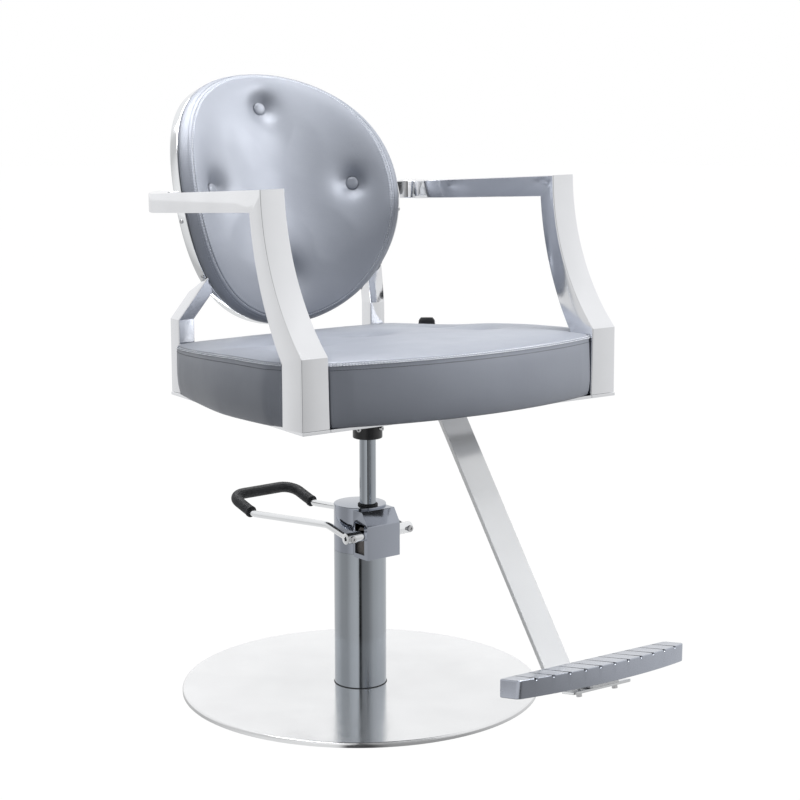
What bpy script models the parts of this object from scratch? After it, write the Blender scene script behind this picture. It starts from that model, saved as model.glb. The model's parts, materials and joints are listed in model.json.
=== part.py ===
"""Hydraulic styling chair: round base, foot-pumped column and a padded swivel seat with a round back.

Metres, +Z up. The origin is the centre of the base disc on the floor. The sitter faces -Y, so +X is
the sitter's left. Pump pieces hang under the empty pump_axis, which is turned a little about the
column. Seat pieces hang under seat_swivel, an empty on the piston's axis, and what lies in the sloping
seat plane hangs under seat_plane.
"""

import math

import bmesh
import bpy
from mathutils import Matrix, Vector

# Gaps and fits
GAP = 0.0003
RUN_GAP = 0.0004
BOLT_GAP = 0.0004
SOFT_GAP = 0.0010
WELD = 0.00001
CUT_OVERRUN = 0.01

# Facets
ROUND_STEPS = 36
SMALL_STEPS = 16
BEND_STEPS = 5

# Base
PAD_H = 0.002
PAD_INSET = 0.002
DISC_R = 0.300
DISC_H = 0.010
DISC_EDGE_R = 0.004
COVER_WALL = 0.0015
PLATE_H = 0.0055
PLATE_ROOM = 0.002
BASE_BOLT_R = 0.004
BASE_BOLT_HEAD_R = 0.0075
BASE_BOLT_HEAD_H = 0.004
BASE_BOLT_L = 0.014
BASE_BOLT_CIRCLE_R = 0.031
BASE_BOLT_START = math.radians(18)
BASE_BOLTS = 4

# Column and pump
PUMP_TURN = math.radians(4)
TUBE_R = 0.0436
TUBE_WALL = 0.003
JOINT_Z = 0.2420
PUMP_BOTTOM_H = 0.018
PISTON_OFFSET = 0.0216
ROD_R = 0.0136
ROD_TOP_Z = 0.4870
ROD_CHAMFER = 0.003
PISTON_HEAD_R = 0.0153
PISTON_HEAD_H = 0.020
PISTON_HEAD_Z = 0.104
PISTON_GROOVE_H = 0.006
PISTON_GROOVE_D = 0.0015
LINER_WALL = 0.0025

HEAD_TOP_Z = 0.3200
HEAD_WALL = 0.003
HEAD_LID = 0.005
HEAD_EDGE = 0.002
HOUSING_HALF_W = 0.034
HOUSING_FRONT = 0.0647
HOUSING_BOTTOM_Z = 0.2379
HOUSING_FACE_TOP_Z = 0.2939
HOUSING_SHOULDER = 0.0497
HOUSING_SHOULDER_Z = 0.3167
SLOT_BACK = 0.031
SLOT_FRONT = 0.056
SLOT_BOTTOM_Z = 0.2455
SLOT_TOP_Z = 0.2962
PLUG_H = 0.030
PLUG_FLANGE_H = 0.0035
LUG_INNER = 0.0220
LUG_OUTER = 0.0300
LUG_BACK = 0.020
LUG_TOP = 0.0125
LUG_HEEL_H = 0.008
LUG_BACK_EDGE = 0.004
LUG_FRONT_EDGE = 0.003
WIPER_W = 0.0028
WIPER_H = 0.0034
WIPER_EDGE = 0.0008

# Foot lever
SHAFT_R = 0.0095
SHAFT_HALF_L = 0.0674
SHAFT_FORWARD = 0.0489
SHAFT_Z = 0.2775
SHAFT_EDGE = 0.0010
SHAFT_HOLE_R = 0.0035
SHAFT_HOLE_L = 0.012
BAR_R = 0.00575
BAR_SHAFT_X = 0.0595
BAR_SEAT = 0.0040
BAR_KNEE = (0.0600, 0.0100, 0.2890)
BAR_DIP = (0.0650, 0.2200, 0.2680)
BAR_CROSS = (0.0650, 0.2900, 0.2875)
BAR_KNEE_R = 0.040
BAR_DIP_R = 0.050
BAR_CORNER_R = 0.026
GRIP_R = 0.0095
GRIP_RIB = 0.0009
GRIP_RIBS = 36
GRIP_START = 0.226
CLAMP_HEAD_R = 0.0057
CLAMP_HEAD_H = 0.0030
CLAMP_HEAD_EDGE = 0.0010
CLAMP_SEAT_GAP = 0.0006
CLAMP_SHANK_R = 0.0028
CLAMP_SHANK_L = 0.0045
FORK_HUB_R = 0.0122
FORK_ROOT_GAP = 0.0012
FORK_ARM_INNER = 0.0148
FORK_ARM_HALF_H = 0.0055
FORK_NOSE_R = 0.0058

# Pump plunger behind the cylinder
PLUNGER_BACK = 0.0205
PLUNGER_R = 0.0060
PLUNGER_CAP_R = 0.0085
PLUNGER_CAP_H = 0.004
PLUNGER_FOOT_Z = 0.188
BARREL_WALL = 0.003
BARREL_Z = 0.126
BARREL_FLOOR = 0.004
SPRING_WIRE_R = 0.0007
SPRING_TURNS = 6
SPRING_POINTS = 8

# Swivel under the seat
SOCKET_R = 0.0245
SOCKET_Z = 0.434
SOCKET_EDGE = 0.0015
SWIVEL_PLATE_X = 0.200
SWIVEL_PLATE_Y = 0.220
SWIVEL_PLATE_H = 0.006

# Seat frame, a ring of flat bars in a plane that drops towards the back
FRAME_FRONT_Y = -0.2764
FRAME_L = 0.5669
FRAME_HALF_FRONT = 0.2946
FRAME_HALF_REAR = 0.2090
FRAME_Z = 0.5156
FRAME_T = 0.005
FRAME_DROP = math.radians(3.205)
SIDE_RAIL_W = 0.048
FRONT_RAIL_W = 0.090
REAR_RAIL_W = 0.042
CROSS_RAIL_W = 0.045
CROSS_RAIL_PITCH = 0.150

# Arm frames: post, armrest and the return to the back
POST_FOOT_W = 0.0486
POST_TOP_W = 0.0426
POST_FRONT_FOOT_Y = -0.2744
POST_REAR_FOOT_Y = -0.2188
POST_FRONT_KINK = (-0.2734, 0.6268)
POST_FRONT_MID = (-0.1958, 0.7288)
POST_FRONT_TOP = (-0.1624, 0.8634)
POST_REAR_KINK = (-0.2188, 0.6130)
POST_REAR_MID = (-0.1606, 0.7127)
POST_REAR_TOP = (-0.1304, 0.8273)
ARM_END_Y = 0.2136
ARM_END_TOP_Z = 0.8330
ARM_END_BOTTOM_Z = 0.8014
ARM_END_OUTER_X = 0.2770
ARM_END_INNER_X = 0.2450
RETURN_BEND_R = 0.018
RETURN_DEPTH = 0.030
RETURN_END_X = 0.1900
ARM_EDGE = 0.0022

# Rear legs
LEG_W = 0.030
LEG_OUTER_X = 0.2085
LEG_Y = 0.2736
LEG_KINK_Z = 0.615
LEG_TOP = (0.1520, 0.2230, 0.7040)
LEG_EDGE = 0.002

# Back: everything lies on one cylinder that leans back
BACK_Y = 0.2925
BACK_Z = 0.8111
BACK_LEAN = math.radians(16.54)
BACK_BEND_R = 0.272
BACK_SEAM_R = 0.2136
BACK_CUSHION_T = 0.0240
BACK_CUSHION_FLARE = 0.0075
BACK_CUSHION_TUCK = 0.002
BACK_CROWN = 0.018
BACK_TUFT_R = 0.146
BACK_TUFT_RISE = 0.009
BACK_TUFT_D = 0.018
BACK_TUFT_SPREAD = 0.030
BUTTON_R = 0.0115
BUTTON_H = 0.0055
BUTTON_RIM = 0.0020
RING_R = 0.2190
RING_T = 0.008
RING_DEPTH = 0.014
RING_EDGE = 0.0016
BOARD_T = 0.009
REAR_PANEL_T = 0.0045
REAR_PANEL_CROWN = 0.004
REAR_PANEL_MARGIN = 0.004
BACK_STEPS = 48
BACK_ROOM_FRONT = 0.060
BACK_ROOM_REAR = 0.075

# Seat cushion, laid out in the seat plane (Y from the frame's front edge)
SEAT_SEAM_H = 0.0870
SEAT_CROWN = 0.0190
SEAT_POST_SIDE_GAP = 0.0020
SEAT_FRONT_Y = -0.0030
SEAT_FRONT_BOW = 0.0490
SEAT_FRONT_CORNER_R = 0.012
SEAT_NOTCH_R = 0.005
SEAT_SHOULDER_R = 0.011
SEAT_CORNER_LEAN = 0.004
SEAT_REAR_LEAN = 0.012
SEAT_POST_GAP = 0.0025
# How far the cushion stands out past the frame, at distances from the front edge
SEAT_OVERHANG = ((0.0107, 0.0850), (0.0192, 0.1200), (0.0301, 0.2600), (0.0172, 0.4180), (0.0093, 0.4830))
SEAT_REAR_Y = 0.5265
SEAT_REAR_R = 0.030
SEAT_BULGE = 0.0090
SEAT_FRONT_BULGE = 0.4
SEAT_REAR_BULGE = 0.15
SEAT_TUFT_R = 0.150
SEAT_TUFT_Y = 0.265
SEAT_TUFT_D = 0.013
SEAT_TUFT_SPREAD = 0.040
SEAT_BOARD_T = 0.009
SEAT_BOARD_SHARE = 0.90
SEAT_SKIRT_SHARE = 0.955

# Footrest
REST_BAR_W = 0.049
REST_BAR_T = 0.008
REST_BAR_TOP = (-0.2464, 0.5000)
REST_BAR_BOTTOM = (-0.4974, 0.1840)
REST_TAB_L = 0.045
REST_BAR_BEND_R = 0.012
REST_PLATE_HALF = 0.153
REST_PLATE_H = 0.027
REST_FRONT_Y = -0.6054
REST_FRONT_Z = 0.2175
REST_FRONT_BOW = 0.024
REST_END_DEPTH = 0.044
REST_TILT = math.radians(11.6)
REST_CORNER_R = 0.010
REST_EDGE = 0.0015
REST_FOOT_BACK = 0.020
REST_RIBS = 12
REST_GROOVE_W = 0.0044
REST_GROOVE_D = 0.0030
REST_GROOVE_REAR = 0.45
REST_GROOVE_FLOOR = 0.4
REST_POCKET_WALL = 0.006
REST_POCKET_X = 0.062
REST_POCKET_D = 0.017
REST_POCKET_CORNER = 0.004
CLAMP_PLATE_X = 0.106
CLAMP_PLATE_Y = 0.030
CLAMP_PLATE_T = 0.004
CLAMP_PLATE_BACK = 0.004
REST_BOLT_X = 0.033
REST_BOLT_R = 0.0027
REST_BOLT_GRIP = 0.010
REST_BOLT_HEAD_R = 0.0045
REST_BOLT_HEAD_H = 0.0070

# Swivel lock lever
LOCK_PIVOT = (0.055, 0.035)
LOCK_TIP = (0.272, 0.2172)
LOCK_ROD_R = 0.004
LOCK_BEND_R = 0.014
LOCK_DROP = 0.0100
LOCK_STRAIGHT = 0.030
LOCK_ROD_CLEAR = 0.004
LOCK_EYE_R = 0.009
LOCK_EYE_H = 0.009
LOCK_EYE_SINK = 0.002
LOCK_PIN_R = 0.0035
LOCK_PIN_HEAD_R = 0.0065
LOCK_PIN_HEAD_H = 0.002
LOCK_GRIP_W = 0.030
LOCK_GRIP_T = 0.014
LOCK_GRIP_H = 0.040
LOCK_GRIP_TOP_Z = 0.586
LOCK_GRIP_TURN = math.radians(-34.43)

# Finishes: colour, roughness, metallic
CHROME = ("chrome", (0.86, 0.88, 0.90), 0.10, 1.0)
POLISHED = ("polished_arm_metal", (0.83, 0.85, 0.88), 0.22, 1.0)
STEEL = ("bright_steel", (0.60, 0.62, 0.65), 0.30, 1.0)
DARK_STEEL = ("dark_steel", (0.12, 0.12, 0.13), 0.45, 0.8)
CAST = ("cast_pump_metal", (0.30, 0.30, 0.31), 0.55, 0.8)
CAST_FOOTREST = ("satin_footrest_metal", (0.55, 0.58, 0.64), 0.32, 1.0)
BLACK_PLASTIC = ("black_plastic", (0.02, 0.02, 0.022), 0.40, 0.0)
RUBBER = ("black_rubber", (0.03, 0.03, 0.034), 0.70, 0.0)
LEATHER = ("blue_grey_leatherette", (0.22, 0.245, 0.30), 0.38, 0.0)
BOARD = ("plywood", (0.45, 0.32, 0.20), 0.70, 0.0)


# ---------------------------------------------------------------- scene and mesh helpers


def clear_scene():
    for obj in list(bpy.data.objects):
        bpy.data.objects.remove(obj, do_unlink=True)


def material(finish):
    """The Principled material of one finish, made once."""
    name, colour, roughness, metallic = finish
    found = bpy.data.materials.get(name)
    if found:
        return found
    made = bpy.data.materials.new(name)
    made.use_nodes = True
    shader = made.node_tree.nodes["Principled BSDF"]
    shader.inputs["Base Color"].default_value = (*colour, 1.0)
    shader.inputs["Roughness"].default_value = roughness
    shader.inputs["Metallic"].default_value = metallic
    return made


def empty(name, location, rotation=(0.0, 0.0, 0.0), parent=None):
    obj = bpy.data.objects.new(name, None)
    obj.location = location
    obj.rotation_euler = rotation
    obj.parent = parent
    bpy.context.scene.collection.objects.link(obj)
    return obj


def add_mesh(name, bm, finish, parent, location=(0.0, 0.0, 0.0), sharp=40):
    """Turns a bmesh into a named object with outward faces, smooth up to the sharp angle."""
    bmesh.ops.remove_doubles(bm, verts=bm.verts, dist=WELD)
    bmesh.ops.recalc_face_normals(bm, faces=bm.faces)
    mesh = bpy.data.meshes.new(name)
    bm.to_mesh(mesh)
    bm.free()
    mesh.shade_smooth()
    mesh.set_sharp_from_angle(angle=math.radians(sharp))
    mesh.materials.append(material(finish))
    obj = bpy.data.objects.new(name, mesh)
    obj.location = location
    obj.parent = parent
    bpy.context.scene.collection.objects.link(obj)
    return obj


def cut(target, cutter, solver="EXACT"):
    """Takes a cutter away from a piece and hides the cutter."""
    cutter.hide_render = True
    cutter.display_type = "WIRE"
    modifier = target.modifiers.new("cut_" + cutter.name, "BOOLEAN")
    modifier.operation = "DIFFERENCE"
    modifier.solver = solver
    modifier.object = cutter


def join(target, other):
    """Unites a helper solid with a piece."""
    other.hide_render = True
    other.display_type = "WIRE"
    modifier = target.modifiers.new("join_" + other.name, "BOOLEAN")
    modifier.operation = "UNION"
    modifier.solver = "EXACT"
    modifier.object = other


def loft(rings, closed=False):
    """Skins equal rings of points, with a cap on each end unless the loft closes on itself."""
    bm = bmesh.new()
    rows = [[bm.verts.new(point) for point in ring] for ring in rings]
    pairs = list(zip(rows, rows[1:]))
    if closed:
        pairs.append((rows[-1], rows[0]))
    for first, second in pairs:
        count = len(first)
        for i in range(count):
            j = (i + 1) % count
            bm.faces.new((first[i], first[j], second[j], second[i]))
    if not closed:
        bm.faces.new(rows[0])
        bm.faces.new(list(reversed(rows[-1])))
    return bm


def ring_width(row):
    return (row[0].co - row[len(row) // 2].co).length


def polar_skin(rings, centre_first, centre_last):
    """Skins closed rings with triangles and shuts both ends with a fan about a centre point.

    Each diagonal runs from the smaller ring to the larger, so two skins that lie on each other match.
    """
    bm = bmesh.new()
    rows = [[bm.verts.new(point) for point in ring] for ring in rings]
    for first, second in zip(rows, rows[1:]):
        inner, outer = (first, second) if ring_width(first) < ring_width(second) else (second, first)
        count = len(first)
        for i in range(count):
            j = (i + 1) % count
            bm.faces.new((inner[i], inner[j], outer[j]))
            bm.faces.new((inner[i], outer[j], outer[i]))
    for row, centre in ((rows[0], centre_first), (rows[-1], centre_last)):
        hub = bm.verts.new(centre)
        for i in range(len(row)):
            bm.faces.new((row[i], row[(i + 1) % len(row)], hub))
    return bm


def lathe(profile, steps=ROUND_STEPS):
    """Turns a closed outline of (radius, z) about Z. Points on the axis become poles."""
    bm = bmesh.new()
    angles = [2 * math.pi * i / steps for i in range(steps)]
    columns = []
    for radius, z in profile:
        if radius < WELD:
            columns.append([bm.verts.new((0.0, 0.0, z))] * steps)
            continue
        columns.append([bm.verts.new((radius * math.cos(a), radius * math.sin(a), z)) for a in angles])
    count = len(profile)
    for k in range(count):
        first = columns[k]
        second = columns[(k + 1) % count]
        for i in range(steps):
            j = (i + 1) % steps
            corners = list(dict.fromkeys((first[i], first[j], second[j], second[i])))
            if len(corners) > 2:
                bm.faces.new(corners)
    return bm


def disc_profile(radius, low, high, edge=0.0):
    """A solid disc's outline, with its rims chamfered by edge."""
    if edge == 0.0:
        return [(0.0, high), (radius, high), (radius, low), (0.0, low)]
    return [
        (0.0, high),
        (radius - edge, high),
        (radius, high - edge),
        (radius, low + edge),
        (radius - edge, low),
        (0.0, low),
    ]


def tube_profile(outer, inner, low, high, edge=0.0):
    """A tube's outline, with its outer rims chamfered by edge."""
    if edge == 0.0:
        return [(outer, high), (outer, low), (inner, low), (inner, high)]
    return [
        (outer - edge, high),
        (outer, high - edge),
        (outer, low + edge),
        (outer - edge, low),
        (inner, low),
        (inner, high),
    ]


def prism(outline, low, high, axis="Z"):
    """Extrudes an outline along an axis. Along X the outline is (y, z), along Z it is (x, y)."""
    if axis == "X":
        rings = [[(x, y, z) for y, z in outline] for x in (low, high)]
    else:
        rings = [[(x, y, z) for x, y in outline] for z in (low, high)]
    return loft(rings)


def box_outline(x0, x1, y0, y1):
    return [(x0, y0), (x1, y0), (x1, y1), (x0, y1)]


def rounded(points, radii, steps=BEND_STEPS):
    """A path of straight runs whose inner corners are arcs of the given radii."""
    path = [Vector(points[0])]
    for before, corner, after, radius in zip(points, points[1:], points[2:], radii):
        path += fillet(Vector(before), Vector(corner), Vector(after), radius, steps)
    path.append(Vector(points[-1]))
    return path


def fillet(before, corner, after, radius, steps):
    """The points of an arc that rounds one corner."""
    back = (before - corner).normalized()
    ahead = (after - corner).normalized()
    half = 0.5 * back.angle(ahead)
    reach = min(radius / math.tan(half), 0.49 * (before - corner).length, 0.49 * (after - corner).length)
    true_radius = reach * math.tan(half)
    middle = corner + (back + ahead).normalized() * (true_radius / math.sin(half))
    start = corner + back * reach - middle
    end = corner + ahead * reach - middle
    sweep = start.angle(end)
    points = []
    for i in range(steps + 1):
        share = i / steps
        first = math.sin((1 - share) * sweep) / math.sin(sweep)
        last = math.sin(share * sweep) / math.sin(sweep)
        points.append(middle + start * first + end * last)
    return points


def tube_rings(path, radii, sides):
    """Rings about a path, carried along it without twist."""
    points = [Vector(p) for p in path]
    tangents = []
    for i in range(len(points)):
        ahead = points[min(i + 1, len(points) - 1)]
        behind = points[max(i - 1, 0)]
        tangents.append((ahead - behind).normalized())
    side = tangents[0].orthogonal().normalized()
    rings = []
    for point, tangent, radius in zip(points, tangents, radii):
        side = (side - tangent * side.dot(tangent)).normalized()
        over = tangent.cross(side)
        ring = []
        for k in range(sides):
            angle = 2 * math.pi * k / sides
            ring.append(point + radius * (math.cos(angle) * side + math.sin(angle) * over))
        rings.append(ring)
    return rings


def arc_through(start, middle, end, steps):
    """Points of the circle through three points of a plane, evenly spaced from start to end."""
    (ax, ay), (bx, by), (cx, cy) = start, middle, end
    d = 2 * (ax * (by - cy) + bx * (cy - ay) + cx * (ay - by))
    aa, bb, cc = ax * ax + ay * ay, bx * bx + by * by, cx * cx + cy * cy
    ux = (aa * (by - cy) + bb * (cy - ay) + cc * (ay - by)) / d
    uy = (aa * (cx - bx) + bb * (ax - cx) + cc * (bx - ax)) / d
    radius = math.hypot(ax - ux, ay - uy)
    first = math.atan2(ay - uy, ax - ux)
    last = math.atan2(cy - uy, cx - ux)
    turn = (last - first + math.pi) % (2 * math.pi) - math.pi
    return [
        (ux + radius * math.cos(first + turn * i / steps), uy + radius * math.sin(first + turn * i / steps))
        for i in range(steps + 1)
    ]


def smooth_through(points, steps):
    """A Catmull-Rom curve through points of a plane."""
    padded = [points[0], *points, points[-1]]
    curve = []
    for before, start, end, after in zip(padded, padded[1:], padded[2:], padded[3:]):
        for i in range(steps):
            t = i / steps
            curve.append(
                tuple(
                    0.5 * (2 * b + (c - a) * t + (2 * a - 5 * b + 4 * c - d) * t * t
                           + (3 * b - a - 3 * c + d) * t**3)
                    for a, b, c, d in zip(before, start, end, after)
                )
            )
    return [*curve, tuple(points[-1])]


def mix(first, last, share):
    return first + (last - first) * share


def chamfered(corners, edge):
    """Eight points round a four-cornered section, each corner cut by edge."""
    ring = []
    for i, corner in enumerate(corners):
        here = Vector(corner)
        for other in (corners[i - 1], corners[(i + 1) % len(corners)]):
            ring.append(here + (Vector(other) - here).normalized() * edge)
    return ring


def dimple(distance, depth, spread):
    """How deep a tuft draws the leather in at a distance from its button."""
    return depth * math.exp(-((distance / spread) ** 2))


# ---------------------------------------------------------------- base


def base_bolt_places():
    for i in range(BASE_BOLTS):
        angle = BASE_BOLT_START + 2 * math.pi * i / BASE_BOLTS
        yield BASE_BOLT_CIRCLE_R * math.cos(angle), BASE_BOLT_CIRCLE_R * math.sin(angle)


def bolt_clearance(name, low, high, head_low, head_high, parent):
    """One cutter for all the base bolts: shank holes with countersinks."""
    bm = bmesh.new()
    for x, y in base_bolt_places():
        hole = lathe(
            [
                (0.0, high),
                (BASE_BOLT_R + BOLT_GAP, high),
                (BASE_BOLT_R + BOLT_GAP, head_high),
                (BASE_BOLT_HEAD_R + BOLT_GAP, head_high),
                (BASE_BOLT_HEAD_R + BOLT_GAP, head_low),
                (BASE_BOLT_R + BOLT_GAP, head_low),
                (BASE_BOLT_R + BOLT_GAP, low),
                (0.0, low),
            ],
            SMALL_STEPS,
        )
        bmesh.ops.translate(hole, verts=hole.verts, vec=(x, y, 0.0))
        piece = bpy.data.meshes.new(name)
        hole.to_mesh(piece)
        hole.free()
        bm.from_mesh(piece)
        bpy.data.meshes.remove(piece)
    return add_mesh(name, bm, STEEL, parent)


def make_base(pump):
    plate_low = PAD_H + GAP
    plate_high = plate_low + PLATE_H
    plate_r = DISC_R - DISC_EDGE_R - PLATE_ROOM
    add_mesh("floor_pad", lathe(disc_profile(plate_r - PAD_INSET, 0.0, PAD_H)), RUBBER, pump)

    plate = add_mesh("base_plate", lathe(disc_profile(plate_r, plate_low, plate_high)), DARK_STEEL, pump)
    head_high = plate_low + BASE_BOLT_HEAD_H + GAP
    holes = bolt_clearance("base_bolt_holes", -DISC_H, 2 * DISC_H, -DISC_H, head_high, pump)
    cut(plate, holes)

    arc = [
        (
            DISC_R - DISC_EDGE_R + DISC_EDGE_R * math.sin(math.radians(turn)),
            DISC_H - DISC_EDGE_R + DISC_EDGE_R * math.cos(math.radians(turn)),
        )
        for turn in (0, 30, 60, 90)
    ]
    inner_r = DISC_R - COVER_WALL
    cover_hole_r = TUBE_R + GAP
    roof_z = plate_high + GAP
    profile = [(cover_hole_r, DISC_H)] + arc
    profile += [(DISC_R, PAD_H), (inner_r, PAD_H), (inner_r, DISC_H - DISC_EDGE_R)]
    profile += [(DISC_R - DISC_EDGE_R, roof_z), (cover_hole_r, roof_z)]
    add_mesh("base_cover", lathe(profile, 48), CHROME, pump, sharp=50)

    bolt_low = plate_low + GAP
    head_top = bolt_low + BASE_BOLT_HEAD_H
    bolt = [
        (0.0, bolt_low + BASE_BOLT_L),
        (BASE_BOLT_R, bolt_low + BASE_BOLT_L),
        (BASE_BOLT_R, head_top),
        (BASE_BOLT_HEAD_R, head_top),
        (BASE_BOLT_HEAD_R, bolt_low),
        (0.0, bolt_low),
    ]
    for i, (x, y) in enumerate(base_bolt_places(), start=1):
        add_mesh(f"base_bolt_{i}", lathe(bolt, 12), STEEL, pump, location=(x, y, 0.0))
    return plate_high


# ---------------------------------------------------------------- column and pump


def make_column(pump, plate_high):
    tube_low = plate_high + GAP
    tube_inner = TUBE_R - TUBE_WALL
    add_mesh(
        "pump_tube",
        lathe(tube_profile(TUBE_R, tube_inner, tube_low, JOINT_Z - GAP)),
        CHROME,
        pump,
    )

    bottom_high = tube_low + PUMP_BOTTOM_H
    bottom = add_mesh(
        "pump_bottom",
        lathe(disc_profile(tube_inner - GAP, tube_low, bottom_high)),
        CAST,
        pump,
    )
    bolt_top = PAD_H + 2 * GAP + BASE_BOLT_L + GAP
    cut(bottom, bolt_clearance("pump_bottom_holes", 0.0, bolt_top, -DISC_H, 0.5 * PAD_H, pump))

    plug_low = JOINT_Z - PLUG_H
    liner_inner = PISTON_HEAD_R + RUN_GAP / 2
    liner = tube_profile(liner_inner + LINER_WALL, liner_inner, bottom_high + GAP, plug_low - GAP)
    add_mesh("cylinder_liner", lathe(liner), STEEL, pump, location=(0.0, -PISTON_OFFSET, 0.0))
    return plug_low


def housing_outline(inset):
    """The pump housing's side outline as (y, z): a flat front with a sloping shoulder."""
    lean = math.atan2(HOUSING_SHOULDER_Z - HOUSING_FACE_TOP_Z, HOUSING_FRONT - HOUSING_SHOULDER)
    shoulder_inset = inset * math.tan(0.5 * (math.pi / 2 - lean))
    face_top = HOUSING_FACE_TOP_Z - shoulder_inset
    front = HOUSING_FRONT - inset
    top = HOUSING_SHOULDER_Z - inset
    shoulder = front - (top - face_top) / math.tan(lean)
    bottom = HOUSING_BOTTOM_Z if inset == 0.0 else HOUSING_BOTTOM_Z - HEAD_LID
    return [(0.0, bottom), (-front, bottom), (-front, face_top), (-shoulder, top), (0.0, top)]


def make_head_cover(pump, piston):
    inner = TUBE_R - HEAD_WALL
    lid_low = HEAD_TOP_Z - HEAD_LID
    cover = add_mesh(
        "head_cover",
        lathe(
            [
                (0.0, HEAD_TOP_Z),
                (TUBE_R - HEAD_EDGE, HEAD_TOP_Z),
                (TUBE_R, HEAD_TOP_Z - HEAD_EDGE),
                (TUBE_R, JOINT_Z),
                (0.0, JOINT_Z),
            ]
        ),
        CHROME,
        pump,
        sharp=30,
    )
    housing = add_mesh(
        "housing_block",
        prism(housing_outline(0.0), -HOUSING_HALF_W, HOUSING_HALF_W, "X"),
        CHROME,
        pump,
    )
    cut(housing, add_mesh(
        "housing_tube_room",
        lathe(disc_profile(TUBE_R + GAP, HOUSING_BOTTOM_Z - CUT_OVERRUN, JOINT_Z)),
        CHROME,
        pump,
    ))
    join(cover, housing)
    cut(cover, add_mesh(
        "cover_bore",
        lathe(disc_profile(inner, JOINT_Z - CUT_OVERRUN, lid_low)),
        CHROME,
        pump,
    ))
    room_x = HOUSING_HALF_W - HEAD_WALL
    cut(cover, add_mesh(
        "housing_room",
        prism(housing_outline(HEAD_WALL), -room_x, room_x, "X"),
        CHROME,
        pump,
    ))
    for side, name in ((-1, "right"), (1, "left")):
        reach = sorted((side * 0.5 * LUG_OUTER, side * (HOUSING_HALF_W + CUT_OVERRUN)))
        slot = [
            (-SLOT_FRONT, SLOT_BOTTOM_Z),
            (-SLOT_BACK, SLOT_BOTTOM_Z),
            (-SLOT_BACK, SLOT_TOP_Z),
            (-SLOT_FRONT, SLOT_TOP_Z),
        ]
        cut(cover, add_mesh("slot_" + name, prism(slot, *reach, "X"), CHROME, pump))
    hole = lathe(disc_profile(SHAFT_R + RUN_GAP, -SHAFT_HALF_L, SHAFT_HALF_L), 24)
    cut(cover, on_shaft("shaft_passage", hole, pump, STEEL))
    rod_hole = lathe(disc_profile(ROD_R + RUN_GAP, lid_low - CUT_OVERRUN, HEAD_TOP_Z + CUT_OVERRUN))
    cut(cover, add_mesh("rod_hole", rod_hole, CHROME, pump, location=piston))

    wiper_inner = ROD_R + GAP
    wiper = tube_profile(
        wiper_inner + WIPER_W, wiper_inner, HEAD_TOP_Z + GAP, HEAD_TOP_Z + GAP + WIPER_H, WIPER_EDGE
    )
    add_mesh("rod_wiper", lathe(wiper, 32), RUBBER, pump, location=piston)


def on_shaft(name, bm, parent, finish, location=(0.0, -SHAFT_FORWARD, SHAFT_Z)):
    """Lays a solid that was turned about Z along the cross shaft."""
    bmesh.ops.rotate(bm, verts=bm.verts, cent=(0, 0, 0), matrix=Matrix.Rotation(math.pi / 2, 3, "Y"))
    return add_mesh(name, bm, finish, parent, location=location)


def make_pump_head(pump, piston, plug_low):
    """The casting that shuts the tube, guides rod and plunger, and carries the shaft in two lugs."""
    plug_r = TUBE_R - TUBE_WALL - GAP
    flange_r = TUBE_R - HEAD_WALL - GAP
    flange_top = JOINT_Z + PLUG_FLANGE_H
    head = add_mesh(
        "pump_head",
        lathe([(0.0, flange_top), (flange_r, flange_top), (flange_r, JOINT_Z), (plug_r, plug_low), (0.0, plug_low)]),
        CAST,
        pump,
    )
    lug_front = HOUSING_FRONT - HEAD_WALL - GAP
    lug_top = SHAFT_Z + LUG_TOP
    sill = flange_top - GAP
    lug = [
        (-LUG_BACK, sill - PLUG_FLANGE_H / 2),
        (-LUG_BACK, sill + LUG_HEEL_H),
        (-SHAFT_FORWARD + LUG_TOP, lug_top - LUG_BACK_EDGE),
        (-SHAFT_FORWARD + LUG_TOP - LUG_BACK_EDGE, lug_top),
        (-lug_front + LUG_FRONT_EDGE, lug_top),
        (-lug_front, lug_top - LUG_FRONT_EDGE),
        (-lug_front, SLOT_BOTTOM_Z - PLUG_FLANGE_H / 2),
        (-TUBE_R - GAP, JOINT_Z + GAP),
    ]
    for side, name in ((-1, "right"), (1, "left")):
        reach = sorted((side * LUG_INNER, side * LUG_OUTER))
        join(head, add_mesh("lug_" + name, prism(lug, *reach, "X"), CAST, pump))
    bearing = lathe(disc_profile(SHAFT_R + GAP, -SHAFT_HALF_L, SHAFT_HALF_L), 24)
    cut(head, on_shaft("shaft_bearing", bearing, pump, CAST))
    rod_guide = lathe(disc_profile(ROD_R + GAP, plug_low - CUT_OVERRUN, flange_top + CUT_OVERRUN))
    cut(head, add_mesh("rod_guide", rod_guide, CAST, pump, location=piston))
    guide_low, guide_high = plug_low - CUT_OVERRUN, flange_top + CUT_OVERRUN
    plunger_guide = lathe(disc_profile(PLUNGER_R + GAP, guide_low, guide_high), 24)
    guide = add_mesh("plunger_guide", plunger_guide, CAST, pump, location=(0.0, PLUNGER_BACK, 0.0))
    cut(head, guide, "MANIFOLD")


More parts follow.
